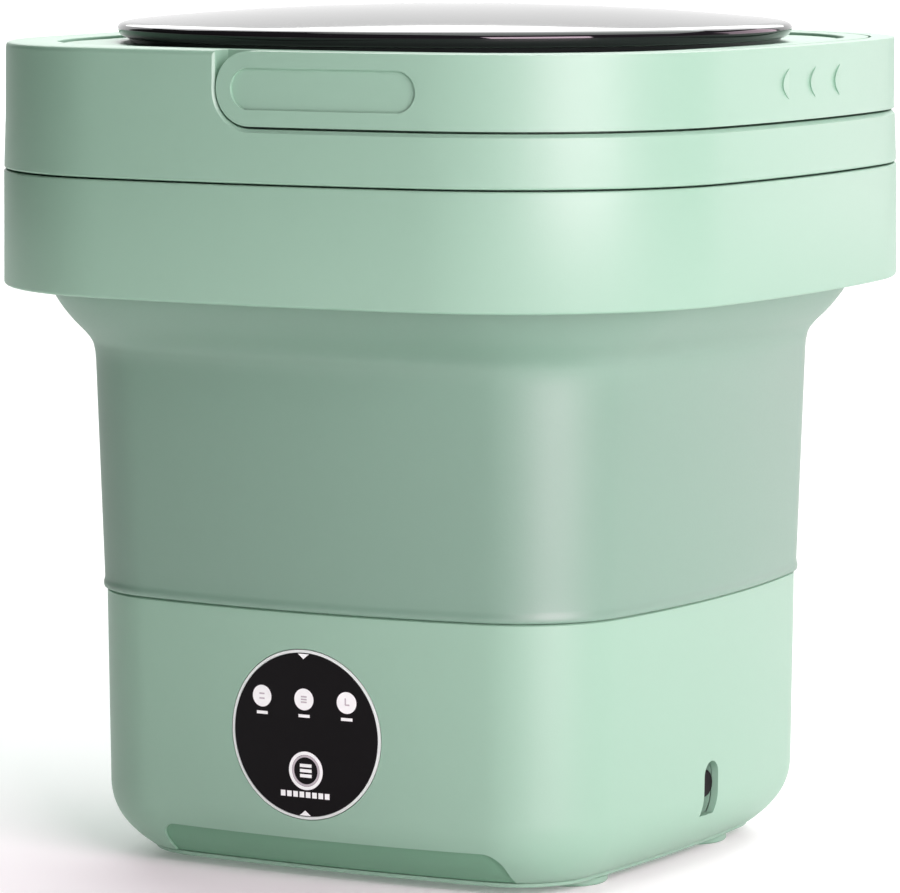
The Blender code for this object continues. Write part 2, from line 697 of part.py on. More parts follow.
def make_drive():
    """Pulsator with its shaft, large pulley, circlip and cap."""
    bore = SHAFT_RADIUS + GAP
    shaft = turned(rod_profile(SHAFT_RADIUS, 0.008, 0.0637), 24)
    radius = LARGE_PULLEY_RADIUS
    pulley = [(bore, 0.010), (radius + 0.002, 0.010), (radius + 0.002, 0.012), (radius, 0.012),
              (radius, 0.017), (radius + 0.002, 0.017), (radius + 0.002, 0.019), (0.030, 0.019),
              (0.030, 0.0155), (0.011, 0.0155), (0.011, 0.021), (bore, 0.021)]
    circlip = [(bore, 0.0218), (0.0062, 0.0218), (0.0062, 0.0230), (bore, 0.0230)]
    cap = [(0, 0.0723), (0.0070, 0.0723), (0.0070, 0.0738), (0.0050, 0.0752), (0, 0.0757)]
    return [make_pulsator(bore), finish(shaft, "drive_shaft", STEEL, 0.25, 1.0),
            finish(turned(pulley, 28), "large_pulley", NATURAL, 0.5),
            finish(turned(circlip), "shaft_circlip", STEEL, 0.35, 1.0),
            finish(turned(cap), "pulsator_cap", WHITE, 0.35)]


def make_pulsator(bore):
    """Shallow dish with a raised hub and four swept vanes."""
    dish = [(0, 0.072), (0.009, 0.072), (0.014, 0.0665), (0.030, 0.0625), (0.052, 0.0605),
            (0.060, 0.0585), (0.060, 0.0565), (0.050, 0.0575), (0.014, 0.0585), (0.011, 0.0555),
            (bore, 0.0555), (bore, 0.064), (0, 0.064)]
    pulsator = finish(turned(dish, 28), "pulsator", WHITE, 0.35)
    vane = [(0.010, 0.0605), (0.010, 0.0700), (0.020, 0.0715), (0.036, 0.0700), (0.050, 0.0655),
            (0.0555, 0.0605)]
    for turn in range(4):
        frame = Matrix.Rotation(turn * math.pi / 2, 4, "Z") @ Matrix.Rotation(math.pi / 2, 4, "X")
        carve(pulsator, plate(vane, -0.0024, 0.0024, frame), "UNION")
    return pulsator


def make_collar_skirt():
    seam = RING_SEAM - GAP
    skin_half = COLLAR_HALF - PLASTIC
    points = [(COLLAR_HALF, LEDGE_LOW - 0.0003), (RING_FOOT_HALF, seam),
              (RING_FOOT_HALF - PLASTIC, seam), (skin_half, LEDGE_TOP), (LEDGE_HALF, LEDGE_TOP),
              (LEDGE_HALF, LEDGE_LOW), (skin_half, LEDGE_LOW), (skin_half + 0.0003, COLLAR_LOW),
              (COLLAR_HALF - 0.0006, COLLAR_LOW)]
    rings = [collar_loop(half, z) for half, z in points]
    skirt = finish(skin(rings, closed=True), "collar_skirt", GREEN, 0.45)
    carve(skirt, rods(upper_clamp_spots(), 0.0014, 0.190, 0.200))
    return skirt


def bail(inner_half, outer_half, end_radius, top, round_above):
    """Bail round the +X half of the ring. Its ends are round about the handle's pivot.

    round_above is False for the pocket's tool, whose ends stay straight above the pivot.
    """
    low = PIVOT_Z - end_radius
    stations = []
    for side in (-1, 1):
        ends = []
        for step in range(1, 7):
            turn = math.radians(84) * step / 6
            x = -end_radius * math.sin(turn)
            rise = end_radius * math.cos(turn)
            high = PIVOT_Z + rise if round_above else top
            ends.append(((x, side * inner_half), (x, side * outer_half), PIVOT_Z - rise, high))
        stations.append(ends)
    inner = collar_loop(inner_half, 0)
    outer = collar_loop(outer_half, 0)
    half_way = len(inner) // 2 + 1
    middle = [((a.x, a.y), (b.x, b.y), low, top) for a, b in zip(inner[:half_way], outer[:half_way])]
    rings = []
    for near, far, z_low, z_high in list(reversed(stations[0])) + middle + stations[1]:
        rings.append([Vector((*near, z_low)), Vector((*far, z_low)), Vector((*far, z_high)),
                      Vector((*near, z_high))])
    return skin(rings, closed=False)


def make_upper_ring():
    """Upper band of the collar: outer face, flat land, lid seat, inner wall and handle pocket."""
    inner_wall = 0.1145
    behind = RIM_HALF - HANDLE_THICKNESS - HANDLE_SWEEP_GAP - 0.0001
    core = behind - PLASTIC
    channel = LAND_HALF + PLASTIC
    under_land = RIM_Z - PLASTIC
    under_seat = LID_SEAT - PLASTIC
    under_pocket = HANDLE_SEAM - HANDLE_SWEEP_GAP - PLASTIC
    seam = RING_SEAM + GAP
    points = [(RING_FOOT_HALF, seam), (0.1350, HANDLE_SEAM), (RIM_HALF, RIM_Z - 0.0022),
              (RIM_HALF - 0.0007, RIM_Z - 0.0006), (RIM_HALF - 0.0022, RIM_Z),
              (LAND_HALF + 0.0006, RIM_Z), (LAND_HALF, RIM_Z - 0.0006), (LAND_HALF, LID_SEAT),
              (0.111, LID_SEAT), (0.111, under_seat), (0.114, under_seat - 0.0026),
              (inner_wall, 0.2065), (inner_wall + 0.002, 0.2065), (inner_wall + 0.002, under_seat),
              (channel, under_seat), (channel, under_land), (core, under_land), (core, under_pocket),
              (RING_FOOT_HALF - PLASTIC - 0.0003, under_pocket), (RING_FOOT_HALF - PLASTIC, seam)]
    rings = [collar_loop(half, z) for half, z in points]
    ring = finish(skin(rings, closed=True), "upper_ring", GREEN, 0.45)
    pocket_radius = HANDLE_RADIUS + HANDLE_SWEEP_GAP
    carve(ring, bail(behind, 0.145, pocket_radius, RIM_Z + CUT_SPARE, round_above=False))
    carve(ring, relief_tool(behind + 0.001, RIM_HALF - PLASTIC, under_land))
    carve(ring, pin_rods(PIN_RADIUS + GAP, core - 0.005, 0.140))
    return ring


def relief_tool(inner_half, outer_half, top):
    """Body that hollows the -X half of the band from below, where there is no handle pocket."""
    inner = collar_loop(inner_half, 0)
    outer = collar_loop(outer_half, 0)
    first = len(outer) // 2 + 2
    rings = []
    for a, b in zip(inner[first:-1], outer[first:-1]):
        rings.append([Vector((a.x, a.y, RING_SEAM)), Vector((b.x, b.y, RING_SEAM)),
                      Vector((b.x, b.y, top)), Vector((a.x, a.y, top))])
    return skin(rings, closed=False)


def pin_rods(radius, near, far):
    """Rods along Y at the handle's pivot, one at the front and one at the back."""
    shapes = []
    for turn in (90, -90):
        shapes.append(turned(rod_profile(radius, near, far), 24, along_y(0, PIVOT_Z, turn)))
    return merged(shapes)


def make_handle_pins():
    wall_inner = RIM_HALF - HANDLE_THICKNESS - HANDLE_SWEEP_GAP - 0.0001 - PLASTIC
    head = wall_inner - GAP
    profile = [(0, head - 0.0018), (0.0045, head - 0.0018), (0.0045, head), (PIN_RADIUS, head),
               (PIN_RADIUS, 0.1312), (0, 0.1312)]
    pins = []
    for name, turn in (("handle_pin_front", 90), ("handle_pin_back", -90)):
        shape = turned(profile, 24, along_y(0, PIVOT_Z, turn))
        pins.append(finish(shape, name, STEEL, 0.3, 1.0))
    return pins


def grip_mark(y, z_half):
    """Crescent on the outer face of the handle's grip, its bowed edge towards the front."""
    outer_edge = []
    inner_edge = []
    for step in range(9):
        lift = -1 + 2 * step / 8
        bow = 1 - lift ** 2
        outer_edge.append((-z_half * lift, y - 0.0052 * bow))
        inner_edge.append((-z_half * lift, y - 0.0022 * bow))
    points = outer_edge + inner_edge[-2:0:-1]
    frame = Matrix.Translation((0, 0, PIVOT_Z)) @ Matrix.Rotation(math.radians(90), 4, "Y")
    return plate(points, 0.1338, 0.1355, frame)


def make_handle():
    """Carry handle with its pin holes, a finger-sized sunk panel at each end and three grip marks."""
    inner = RIM_HALF - HANDLE_THICKNESS
    handle = finish(bail(inner, RIM_HALF, HANDLE_RADIUS, RIM_Z, round_above=True), "carry_handle",
                    GREEN, 0.45)
    carve(handle, pin_rods(PIN_RADIUS + 0.0002, inner - 0.002, 0.1315))
    panel_floor = RIM_HALF - 0.001
    band = [(panel_floor, 0.25), (panel_floor, 0.28), (0.139, 0.28), (0.139, 0.25)]
    for turn in (90, -90):
        panel = plate(capsule(0.0527, 0.0067), 0.12, 0.14, along_y(0, PIVOT_Z, turn))
        carve(handle, common(panel, skin([collar_loop(half, z) for half, z in band], closed=True)))
    for y in (-0.0177, 0.0018, 0.0208):
        carve(handle, grip_mark(y, 0.005), "UNION")
    return handle


def make_upper_clamp():
    low = LEDGE_TOP + GAP + SOFT_WALL + GAP
    high = low + 0.0024
    rings = [collar_loop(0.1216, low), collar_loop(0.1269, low), collar_loop(0.1269, high),
             collar_loop(0.1216, high)]
    ring = finish(skin(rings, closed=True), "upper_clamp_ring", WHITE, 0.4)
    carve(ring, rods(upper_clamp_spots(), 0.0014, 0.198, 0.208))
    return [ring, *clamp_screws("upper_clamp_screw", upper_clamp_spots(), high + GAP, 0.195)]


def make_lid():
    """Lid plate, domed window, the ring that holds it and the seal that fits in the mouth."""
    plate_top = RIM_Z - 0.001
    under = plate_top - PLASTIC
    edge_low = LID_SEAT + GAP
    opening = 0.1008
    rings = [collar_loop(LID_HALF, edge_low), collar_loop(LID_HALF, plate_top - 0.0006),
             collar_loop(LID_HALF - 0.0006, plate_top), round_loop(opening, plate_top),
             round_loop(opening, under), collar_loop(LID_HALF - 0.0024, under),
             collar_loop(LID_HALF - 0.0024, edge_low)]
    lid_plate = finish(skin(rings, closed=True), "lid_plate", GREEN, 0.45)
    seat = plate_top + GAP
    foot = LID_SEAT - 0.0014
    window = [(0, APEX_Z), (0.050, 0.2869), (0.090, 0.2848), (0.1105, 0.2824),
              (WINDOW_RADIUS, 0.2804), (0.1122, seat + 0.0014), (0.1115, seat), (0.0996, seat),
              (0.0996, foot), (0.0971, foot), (0.0971, 0.2796), (0.050, 0.2840), (0, 0.2848)]
    window_piece = finish(turned(window, 36), "lid_window", BLACK, 0.08)
    retainer = [(0.1000, foot), (0.1065, foot), (0.1065, under - GAP), (0.1000, under - GAP)]
    seal = [collar_loop(0.1078, 0.2674), collar_loop(0.1104, 0.2674),
            collar_loop(0.1104, under - GAP), collar_loop(0.1078, under - GAP)]
    return [lid_plate, window_piece, finish(turned(retainer, 36), "window_retainer", NATURAL, 0.5),
            finish(skin(seal, closed=True), "lid_seal", RUBBER, 0.6)]


def hold(name, spot, pieces):
    """Parent the pieces of one moving body to an empty that stands on its joint's axis."""
    axis = bpy.data.objects.new(name, None)
    axis.location = spot
    bpy.context.scene.collection.objects.link(axis)
    for piece in pieces:
        piece.parent = axis
        piece.location = -Vector(spot)


def build():
    clear_scene()
    base = [make_base_shell(), make_bottom_cover(), *make_feet(), *make_cover_screws(),
            make_tub_floor(), *make_lower_clamp(), make_folding_wall(), *make_bearing(),
            *make_motor(), make_belt(), make_control_board(), *make_touch_panel(), *make_drain(),
            make_power_inlet(), *make_leads()]
    upper = [make_collar_skirt(), make_upper_ring(), *make_upper_clamp(), *make_handle_pins()]
    hold("base_axis", (0, 0, 0), base)
    hold("upper_axis", (0, 0, 0), upper)
    hold("handle_axis", (0, 0, PIVOT_Z), [make_handle()])
    hold("lid_axis", (0, 0, LID_SEAT), make_lid())
    hold("drive_axis", (0, 0, 0), make_drive())
    hold("rotor_axis", (MOTOR_X, 0, 0), make_rotor())
    hold("plug_axis", (0, DRAIN_Y, DRAIN_Z), make_drain_plug())


build()
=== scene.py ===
import json
import math

import bmesh
import bpy
from mathutils import Matrix, Vector


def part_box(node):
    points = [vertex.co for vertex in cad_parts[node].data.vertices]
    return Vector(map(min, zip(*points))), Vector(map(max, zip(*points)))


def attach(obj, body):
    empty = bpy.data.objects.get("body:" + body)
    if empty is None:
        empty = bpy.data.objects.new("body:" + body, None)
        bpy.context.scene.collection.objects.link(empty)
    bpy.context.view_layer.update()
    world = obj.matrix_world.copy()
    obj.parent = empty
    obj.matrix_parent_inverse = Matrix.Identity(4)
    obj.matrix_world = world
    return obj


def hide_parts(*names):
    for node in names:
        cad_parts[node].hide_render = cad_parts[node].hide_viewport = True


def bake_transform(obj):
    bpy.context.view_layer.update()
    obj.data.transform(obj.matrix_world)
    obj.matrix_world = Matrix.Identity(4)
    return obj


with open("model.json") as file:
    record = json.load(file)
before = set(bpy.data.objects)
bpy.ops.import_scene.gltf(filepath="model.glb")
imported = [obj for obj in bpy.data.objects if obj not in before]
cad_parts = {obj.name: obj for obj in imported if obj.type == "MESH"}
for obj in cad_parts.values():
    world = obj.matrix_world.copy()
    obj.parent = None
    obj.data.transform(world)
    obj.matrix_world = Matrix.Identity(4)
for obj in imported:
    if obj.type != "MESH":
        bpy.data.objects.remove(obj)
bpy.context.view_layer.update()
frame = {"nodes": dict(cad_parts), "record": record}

scene = bpy.context.scene

# ---------------------------------------------------------------- Camera
# A long lens a little above the collar's height, at the front right of the washer.
CAMERA_TURN = math.radians(29.27)
CAMERA_DISTANCE = 1.8773
CAMERA_HEIGHT = 0.3426
CAMERA_DIP = math.radians(6.253)
camera_data = bpy.data.cameras.new("camera")
camera_data.lens = 220.86
camera_data.sensor_width = 36
camera_data.shift_x = -0.00537
camera_data.clip_end = 50
camera = bpy.data.objects.new("camera", camera_data)
camera.location = (CAMERA_DISTANCE * math.sin(CAMERA_TURN), -CAMERA_DISTANCE * math.cos(CAMERA_TURN),
                   CAMERA_HEIGHT)
camera.rotation_euler = (math.pi / 2 - CAMERA_DIP, 0, CAMERA_TURN)
scene.collection.objects.link(camera)
scene.camera = camera

# ---------------------------------------------------------------- Floor and light
# A pale studio floor in a dim room. Two soft boxes stand at the right, a pale green one hangs
# overhead, a wide light behind shows in the domed window, and one lights the floor far behind.
scene.view_settings.view_transform = "Standard"
ROOM_STRENGTH = 0.03
world = bpy.data.worlds.new("room")
world.use_nodes = True
world.node_tree.nodes["Background"].inputs["Color"].default_value = (1.0, 1.0, 1.0, 1)
world.node_tree.nodes["Background"].inputs["Strength"].default_value = ROOM_STRENGTH
scene.world = world


def soft_light(name, spot, target, size, power, colour=(1, 1, 1)):
    """Square area light at a place, turned to face a target."""
    data = bpy.data.lights.new(name, "AREA")
    data.shape = "RECTANGLE"
    data.size, data.size_y = size
    data.energy = power
    data.color = colour
    light = bpy.data.objects.new(name, data)
    light.location = spot
    aim = Vector(target) - Vector(spot)
    light.rotation_euler = aim.to_track_quat("-Z", "Y").to_euler()
    light.visible_camera = False
    scene.collection.objects.link(light)


SOFTBOX_TINT = (1.0, 0.77, 0.89)
OVERHEAD_TINT = (0.93, 1.0, 0.96)
soft_light("front_right_light", (1.70, -1.08, 0.75), (0, 0, 0.15), (1.3, 1.3), 63, SOFTBOX_TINT)
soft_light("back_right_light", (0.98, 1.74, 0.55), (0, 0, 0.15), (1.3, 1.3), 13, SOFTBOX_TINT)
soft_light("top_light", (0.3, 0.6, 2.2), (0, 0, 0.2), (2.2, 2.2), 38, OVERHEAD_TINT)
soft_light("back_light", (-1.6, 2.9, 1.15), (0, 0, 0.28), (5.0, 1.9), 30)
soft_light("floor_light", (-3.2, 6.4, 3.4), (-2.8, 5.6, 0), (7.0, 7.0), 420)

floor_mesh = bmesh.new()
bmesh.ops.create_grid(floor_mesh, x_segments=2, y_segments=2, size=40)
floor_data = bpy.data.meshes.new("floor")
floor_mesh.to_mesh(floor_data)
floor_mesh.free()
floor = bpy.data.objects.new("floor", floor_data)
scene.collection.objects.link(floor)


class Reading:
    """A number that varies over a surface. Python's operators on it add Math nodes."""

    def __init__(self, finish, socket):
        self.finish = finish
        self.socket = socket

    def combine(self, operation, first, second):
        return self.finish.node("ShaderNodeMath", {"operation": operation}, {0: first, 1: second})

    def __add__(self, other):
        return self.combine("ADD", self, other)

    def __sub__(self, other):
        return self.combine("SUBTRACT", self, other)

    def __rsub__(self, other):
        return self.combine("SUBTRACT", other, self)

    def __mul__(self, other):
        return self.combine("MULTIPLY", self, other)

    __radd__ = __add__
    __rmul__ = __mul__


class Finish:
    """One material: a Principled shader and what varies over its surface."""

    def __init__(self, name, **fixed):
        self.material = bpy.data.materials.new(name)
        self.material.use_nodes = True
        self.tree = self.material.node_tree
        self.shader = self.tree.nodes["Principled BSDF"]
        for socket, value in fixed.items():
            self.put(self.shader.inputs[socket.replace("_", " ")], value)

    def put(self, socket, value):
        if isinstance(value, Reading):
            self.tree.links.new(value.socket, socket)
        elif isinstance(value, tuple) and len(value) == 3 and socket.type == "RGBA":
            socket.default_value = (*value, 1)
        else:
            socket.default_value = value

    def node(self, kind, settings, inputs, output=0):
        made = self.tree.nodes.new(kind)
        for key, value in settings.items():
            setattr(made, key, value)
        for key, value in inputs.items():
            self.put(made.inputs[key], value)
        return Reading(self, made.outputs[output])

    def noise(self, scale, detail=2.0, stretch=(1, 1, 1)):
        """Noise from 0 to 1 in the piece's own coordinates, scale in waves per metre."""
        place = self.node("ShaderNodeTexCoord", {}, {}, "Object")
        drawn = self.node("ShaderNodeVectorMath", {"operation": "MULTIPLY"}, {0: place, 1: stretch})
        return self.node("ShaderNodeTexNoise", {},
                         {"Vector": drawn, "Scale": scale, "Detail": detail})

    def tint(self, dark, light, share):
        """Mix two colours by a reading."""
        return self.node("ShaderNodeMix", {"data_type": "RGBA"}, {0: share, 6: dark, 7: light}, 2)

    def vary(self, **changes):
        for socket, value in changes.items():
            self.put(self.shader.inputs[socket.replace("_", " ")], value)

    def emboss(self, height, depth):
        """Raise the surface by a reading, depth in metres."""
        self.vary(Normal=self.node("ShaderNodeBump", {}, {"Height": height, "Distance": depth,
                                                          "Strength": 1.0}))


def shade(colour, factor):
    return tuple(channel * factor for channel in colour)


def moulded(name, colour, roughness, grain=0.000012, specular=0.6):
    """Moulded plastic: a faint spark-eroded grain, slow tone changes and slightly uneven gloss."""
    finish = Finish(name, Specular_IOR_Level=specular)
    slow = finish.noise(9.0, 3.0)
    fine = finish.noise(1400.0, 2.0)
    finish.vary(Base_Color=finish.tint(shade(colour, 0.97), shade(colour, 1.03), slow),
                Roughness=slow * 0.06 + fine * 0.08 + (roughness - 0.07))
    finish.emboss(fine, grain)
    return finish.material


floor_finish = Finish("studio_floor", Roughness=0.8, Specular_IOR_Level=0.1,
                      Emission_Color=(1.0, 1.0, 1.0), Emission_Strength=0.12)
floor_tone = floor_finish.noise(3.0, 2.0)
floor_finish.vary(Base_Color=floor_finish.tint((0.93, 0.93, 0.93), (0.95, 0.95, 0.95), floor_tone))
floor_data.materials.append(floor_finish.material)

# ---------------------------------------------------------------- Base shell
# Injection-moulded housing in pale green: drafted bulged sides over a large rounding at the foot,
# with a round seat for the panel, a drain slot, a matt finger recess and a hole for the inlet.
# The recess is coloured a darker green as painted shade; its lower gloss is its real matt finish.
BODY_GREEN = (0.235, 0.43, 0.305)
SIDE_STEPS = 10
CORNER_STEPS = 24
WALL_FOOT_HALF = 0.1025
BASE_SIDE_RADIUS = 0.3756
BASE_CORNER_RADIUS = 0.0394
SEAM_Z = 0.092
ROUNDING_TOP = 0.027
ROUNDING_LOW = 0.003
SHELL_FOOT = 0.0049
BASE_TOP_HALF = 0.1014
BASE_WAIST_HALF = 0.1003
BASE_FOOT_HALF = 0.0826
BASE_WALL = 0.0025
ROUNDING_BEND = 2.2
SIDE_FLATTENING = 18.9
CORNER_SOFTENING = 0.69


def outline(half, side_radius, corner_radius):
    """Square with bulged sides and round corners, from the middle of the front, anticlockwise."""
    side_centre = half - side_radius
    reach = side_radius - corner_radius
    corner_centre = (2 * side_centre + math.sqrt(8 * reach ** 2 - 4 * side_centre ** 2)) / 4
    meet = math.atan2(corner_centre, corner_centre - side_centre)
    quarter = []
    for step in range(SIDE_STEPS):
        turn = meet * step / SIDE_STEPS
        quarter.append((side_centre + side_radius * math.cos(turn), side_radius * math.sin(turn)))
    for step in range(CORNER_STEPS):
        turn = meet + (math.pi / 2 - 2 * meet) * step / CORNER_STEPS
        quarter.append((corner_centre + corner_radius * math.cos(turn),
                        corner_centre + corner_radius * math.sin(turn)))
    for step in range(SIDE_STEPS):
        turn = math.pi / 2 - meet + meet * step / SIDE_STEPS
        quarter.append((side_radius * math.cos(turn), side_centre + side_radius * math.sin(turn)))
    points = []
    for cosine, sine in ((0, -1), (1, 0), (0, 1), (-1, 0)):
        points += [(x * cosine - y * sine, x * sine + y * cosine) for x, y in quarter]
    return points


def base_loop(half, z, inset=0.0):
    """Outline of the base at one height. Its sides flatten and its corners stay soft to the foot."""
    shift = WALL_FOOT_HALF - half
    side = BASE_SIDE_RADIUS + SIDE_FLATTENING * shift
    corner = BASE_CORNER_RADIUS - CORNER_SOFTENING * shift
    return [Vector((x, y, z)) for x, y in outline(half - inset, side - inset, corner - inset)]


def base_half(z):
    """Outer half-width of the base at a height."""
    if z >= ROUNDING_TOP:
        rise = (z - ROUNDING_TOP) / (SEAM_Z - ROUNDING_TOP)
        return BASE_WAIST_HALF + (BASE_TOP_HALF - BASE_WAIST_HALF) * rise
    drop = (ROUNDING_TOP - z) / (ROUNDING_TOP - ROUNDING_LOW)
    return BASE_WAIST_HALF - (BASE_WAIST_HALF - BASE_FOOT_HALF) * drop ** ROUNDING_BEND


def skin(rings, closed):
    """Close a body over a row of rings. A ring of one point is a pole, and end rings are capped."""
    shape = bmesh.new()
    rows = [[shape.verts.new(point) for point in ring] for ring in rings]
    pairs = list(zip(rows, rows[1:]))
    if closed:
        pairs.append((rows[-1], rows[0]))
    for low, high in pairs:
        count = max(len(low), len(high))
        for index in range(count):
            after = (index + 1) % count
            if len(low) == 1:
                shape.faces.new((low[0], high[after], high[index]))
            elif len(high) == 1:
                shape.faces.new((low[index], low[after], high[0]))
            else:
                shape.faces.new((low[index], low[after], high[after], high[index]))
    if not closed:
        for row in (rows[0], rows[-1]):
            if len(row) > 1:
                shape.faces.new(row)
    return shape


def piece(shape, name, material, sharp=32):
    """Turn a bmesh into a named object, smooth except across edges sharper than the angle."""
    bmesh.ops.recalc_face_normals(shape, faces=shape.faces)
    mesh = bpy.data.meshes.new(name)
    shape.to_mesh(mesh)
    shape.free()
    mesh.shade_smooth()
    mesh.set_sharp_from_angle(angle=math.radians(sharp))
    if material is not None:
        mesh.materials.append(material)
    made = bpy.data.objects.new(name, mesh)
    scene.collection.objects.link(made)
    return made


def soften(profile, radius, steps=4):
    """Round the corners of a closed profile of (half, height) points."""
    points = [Vector(point[:2]) for point in profile]
    made = []
    for index, corner in enumerate(points):
        before = points[index - 1]
        after = points[(index + 1) % len(points)]
        to_before = before - corner
        to_after = after - corner
        if to_before.angle(to_after) > math.radians(155):
            made.append(corner)
            continue
        reach = min(radius, to_before.length * 0.45, to_after.length * 0.45)
        start = corner + to_before.normalized() * reach
        end = corner + to_after.normalized() * reach
        for step in range(steps + 1):
            t = step / steps
            made.append((1 - t) ** 2 * start + 2 * t * (1 - t) * corner + t ** 2 * end)
    return [(point.x, point.y) for point in made]


def carve(body, tool_shape, operation="DIFFERENCE"):
    """Cut, join or trim a piece with a tool body, and keep the result as its mesh."""
    tool = piece(tool_shape, "tool", None)
    modifier = body.modifiers.new("carve", "BOOLEAN")
    modifier.object = tool
    modifier.operation = operation
    modifier.solver = "EXACT"
    result = bpy.data.meshes.new_from_object(
        body.evaluated_get(bpy.context.evaluated_depsgraph_get()))
    body.modifiers.clear()
    material = body.data.materials[0] if body.data.materials else None
    body.data = result
    result.materials.clear()
    if material is not None:
        result.materials.append(material)
    bpy.data.objects.remove(tool, do_unlink=True)
    return body


def ease_edges(body, width):
    """Break a moulding's cut edges with a small round, as its mould does."""
    edge_angle = math.radians(38)
    body.data.shade_smooth()
    body.data.set_sharp_from_angle(angle=edge_angle)
    bevel = body.modifiers.new("eased", "BEVEL")
    bevel.width = width
    bevel.segments = 2
    bevel.limit_method = "ANGLE"
    bevel.angle_limit = edge_angle
    bevel.harden_normals = True
    bevel.use_clamp_overlap = True


def turned(profile, steps, place=None):
    """Turn a profile of (radius, height) points about the Z axis, then place it with a matrix."""
    rings = []
    for radius, height in profile:
        if radius == 0:
            rings.append([Vector((0, 0, height))])
            continue
        turns = [2 * math.pi * step / steps for step in range(steps)]
        rings.append([Vector((radius * math.cos(t), radius * math.sin(t), height)) for t in turns])
    shape = skin(rings, closed=profile[0][0] != 0)
    if place is not None:
        bmesh.ops.transform(shape, matrix=place, verts=shape.verts)
    return shape


def rod(radius, low, high, steps=64, place=None):
    return turned([(0, low), (radius, low), (radius, high), (0, high)], steps, place)


def slab(points, low, high, place):
    """Extrude an outline of (u, v) points from low to high along the place's Z axis."""
    rings = [[Vector((u, v, level)) for u, v in points] for level in (low, high)]
    shape = skin(rings, closed=False)
    bmesh.ops.transform(shape, matrix=place, verts=shape.verts)
    return shape


def facing_front(x, z, turn=90):
    return Matrix.Translation((x, 0, z)) @ Matrix.Rotation(math.radians(turn), 4, "X")


def facing_right(y, z):
    return Matrix.Translation((0, y, z)) @ Matrix.Rotation(math.radians(90), 4, "Y")


def capsule(length, radius):
    """Slot outline with round ends, lying along u from 0 to length."""
    turns = [math.pi * step / 24 for step in range(25)]
    points = [(-radius * math.sin(turn), radius * math.cos(turn)) for turn in turns]
    points += [(length + radius * math.sin(turn), -radius * math.cos(turn)) for turn in turns]
    return points


def arched_slot(half, low, top):
    """Slot with an arched top, in a place whose u axis points down."""
    centre = top - half
    turns = [math.pi * step / 24 for step in range(25)]
    return ([(-low, -half), (-low, half)]
            + [(-(centre + half * math.sin(turn)), half * math.cos(turn)) for turn in turns])


panel_low, panel_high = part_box("panel_trim")
PANEL_Z = (panel_low.z + panel_high.z) / 2
TRIM_RADIUS = (panel_high.x - panel_low.x) / 2
plug_low, plug_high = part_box("drain_plug")
DRAIN_Y = (plug_low.y + plug_high.y) / 2
inlet_low, inlet_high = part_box("power_inlet")
INLET_Z = (inlet_low.z + inlet_high.z) / 2
DRAIN_SLOT = (0.005, 0.0183, 0.0368)
CONNECTOR_HOLE = 0.022
INLET_HOLE = 0.0064


def base_band(inner_inset, outer_inset, low, high, count=30):
    """Ring body between two offsets of the base's outer face."""
    levels = [low + (high - low) * step / (count - 1) for step in range(count)]
    rings = [base_loop(base_half(z), z, inner_inset) for z in reversed(levels)]
    rings += [base_loop(base_half(z), z, outer_inset) for z in levels]
    return skin(rings, closed=True)


def common(first, second):
    """Bmesh of what two bodies share."""
    body = carve(piece(first, "common", None), second, "INTERSECT")
    shape = bmesh.new()
    shape.from_mesh(body.data)
    bpy.data.objects.remove(body, do_unlink=True)
    return shape


def inset_of(spot):
    """How far a point lies inside the base's outer face, level with it."""
    loop = base_loop(base_half(spot.z), spot.z)
    gaps = []
    for start, end in zip(loop, loop[1:] + loop[:1]):
        edge = end - start
        share = min(max((spot - start).dot(edge) / edge.length_squared, 0), 1)
        gaps.append((spot - start - edge * share).length)
    return min(gaps)


RECESS_DEPTH = 0.0012
RECESS_TOP = 0.016


def finger_recess():
    """Even recess in the front of the rounding, open at the foot, with round upper corners."""
    left, right, corner = -0.061, 0.068, 0.006
    points = [(left, 0), (right, 0)]
    for centre, first in ((right - corner, 0), (left + corner, 90)):
        for step in range(13):
            turn = math.radians(first + 90 * step / 12)
            points.append((centre + corner * math.cos(turn),
                           RECESS_TOP - corner + corner * math.sin(turn)))
    followed = base_band(RECESS_DEPTH, -0.004, 0.0035, 0.020, 18)
    return common(slab(points, 0.05, 0.12, facing_front(0, 0)), followed)


body_plastic = moulded("body_plastic", BODY_GREEN, 0.42)
heights = [SHELL_FOOT + (ROUNDING_TOP - SHELL_FOOT) * step / 16 for step in range(17)]
heights += [0.040, 0.060, 0.080, SEAM_Z - 0.0006]
rings = [base_loop(base_half(z), z) for z in heights]
rings.append(base_loop(base_half(SEAM_Z), SEAM_Z - 0.0001, 0.0005))
rings.append(base_loop(base_half(SEAM_Z), SEAM_Z, 0.0011))
rings += [base_loop(base_half(z), z, BASE_WALL) for z in [SEAM_Z] + heights[::-1][1:]]
base_shell = piece(skin(rings, closed=True), "housing", body_plastic)
panel_seat = rod(TRIM_RADIUS + 0.0003, 0.09, 0.12, 128, facing_front(0, PANEL_Z))
carve(base_shell, common(panel_seat, base_band(0.0018, -0.005, 0.02, 0.09)))
carve(base_shell, rod(CONNECTOR_HOLE, 0.09, 0.12, 96, facing_front(0, PANEL_Z)))
carve(base_shell, slab(arched_slot(*DRAIN_SLOT), 0.085, 0.11, facing_right(DRAIN_Y, 0)))
carve(base_shell, rod(INLET_HOLE, -0.12, -0.09, 64, facing_front(0, INLET_Z)))
carve(base_shell, finger_recess())
# Matt finish for the finger recess. Its darker, more saturated green is painted shade for the recess.
recess_painted_shade = moulded("matt_recess_painted_shade", (0.150, 0.330, 0.210), 0.6, 0.00003, specular=0.3)
base_shell.data.materials.append(recess_painted_shade)
# Faces on the recess floor take the painted-shade material.
for face in base_shell.data.polygons:
    spot = face.center
    if spot.y < 0 and spot.z < RECESS_TOP + 0.0002 and abs(inset_of(spot) - RECESS_DEPTH) < 0.0002:
        face.material_index = 1
ease_edges(base_shell, 0.0005)
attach(base_shell, "base")
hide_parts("base_shell")

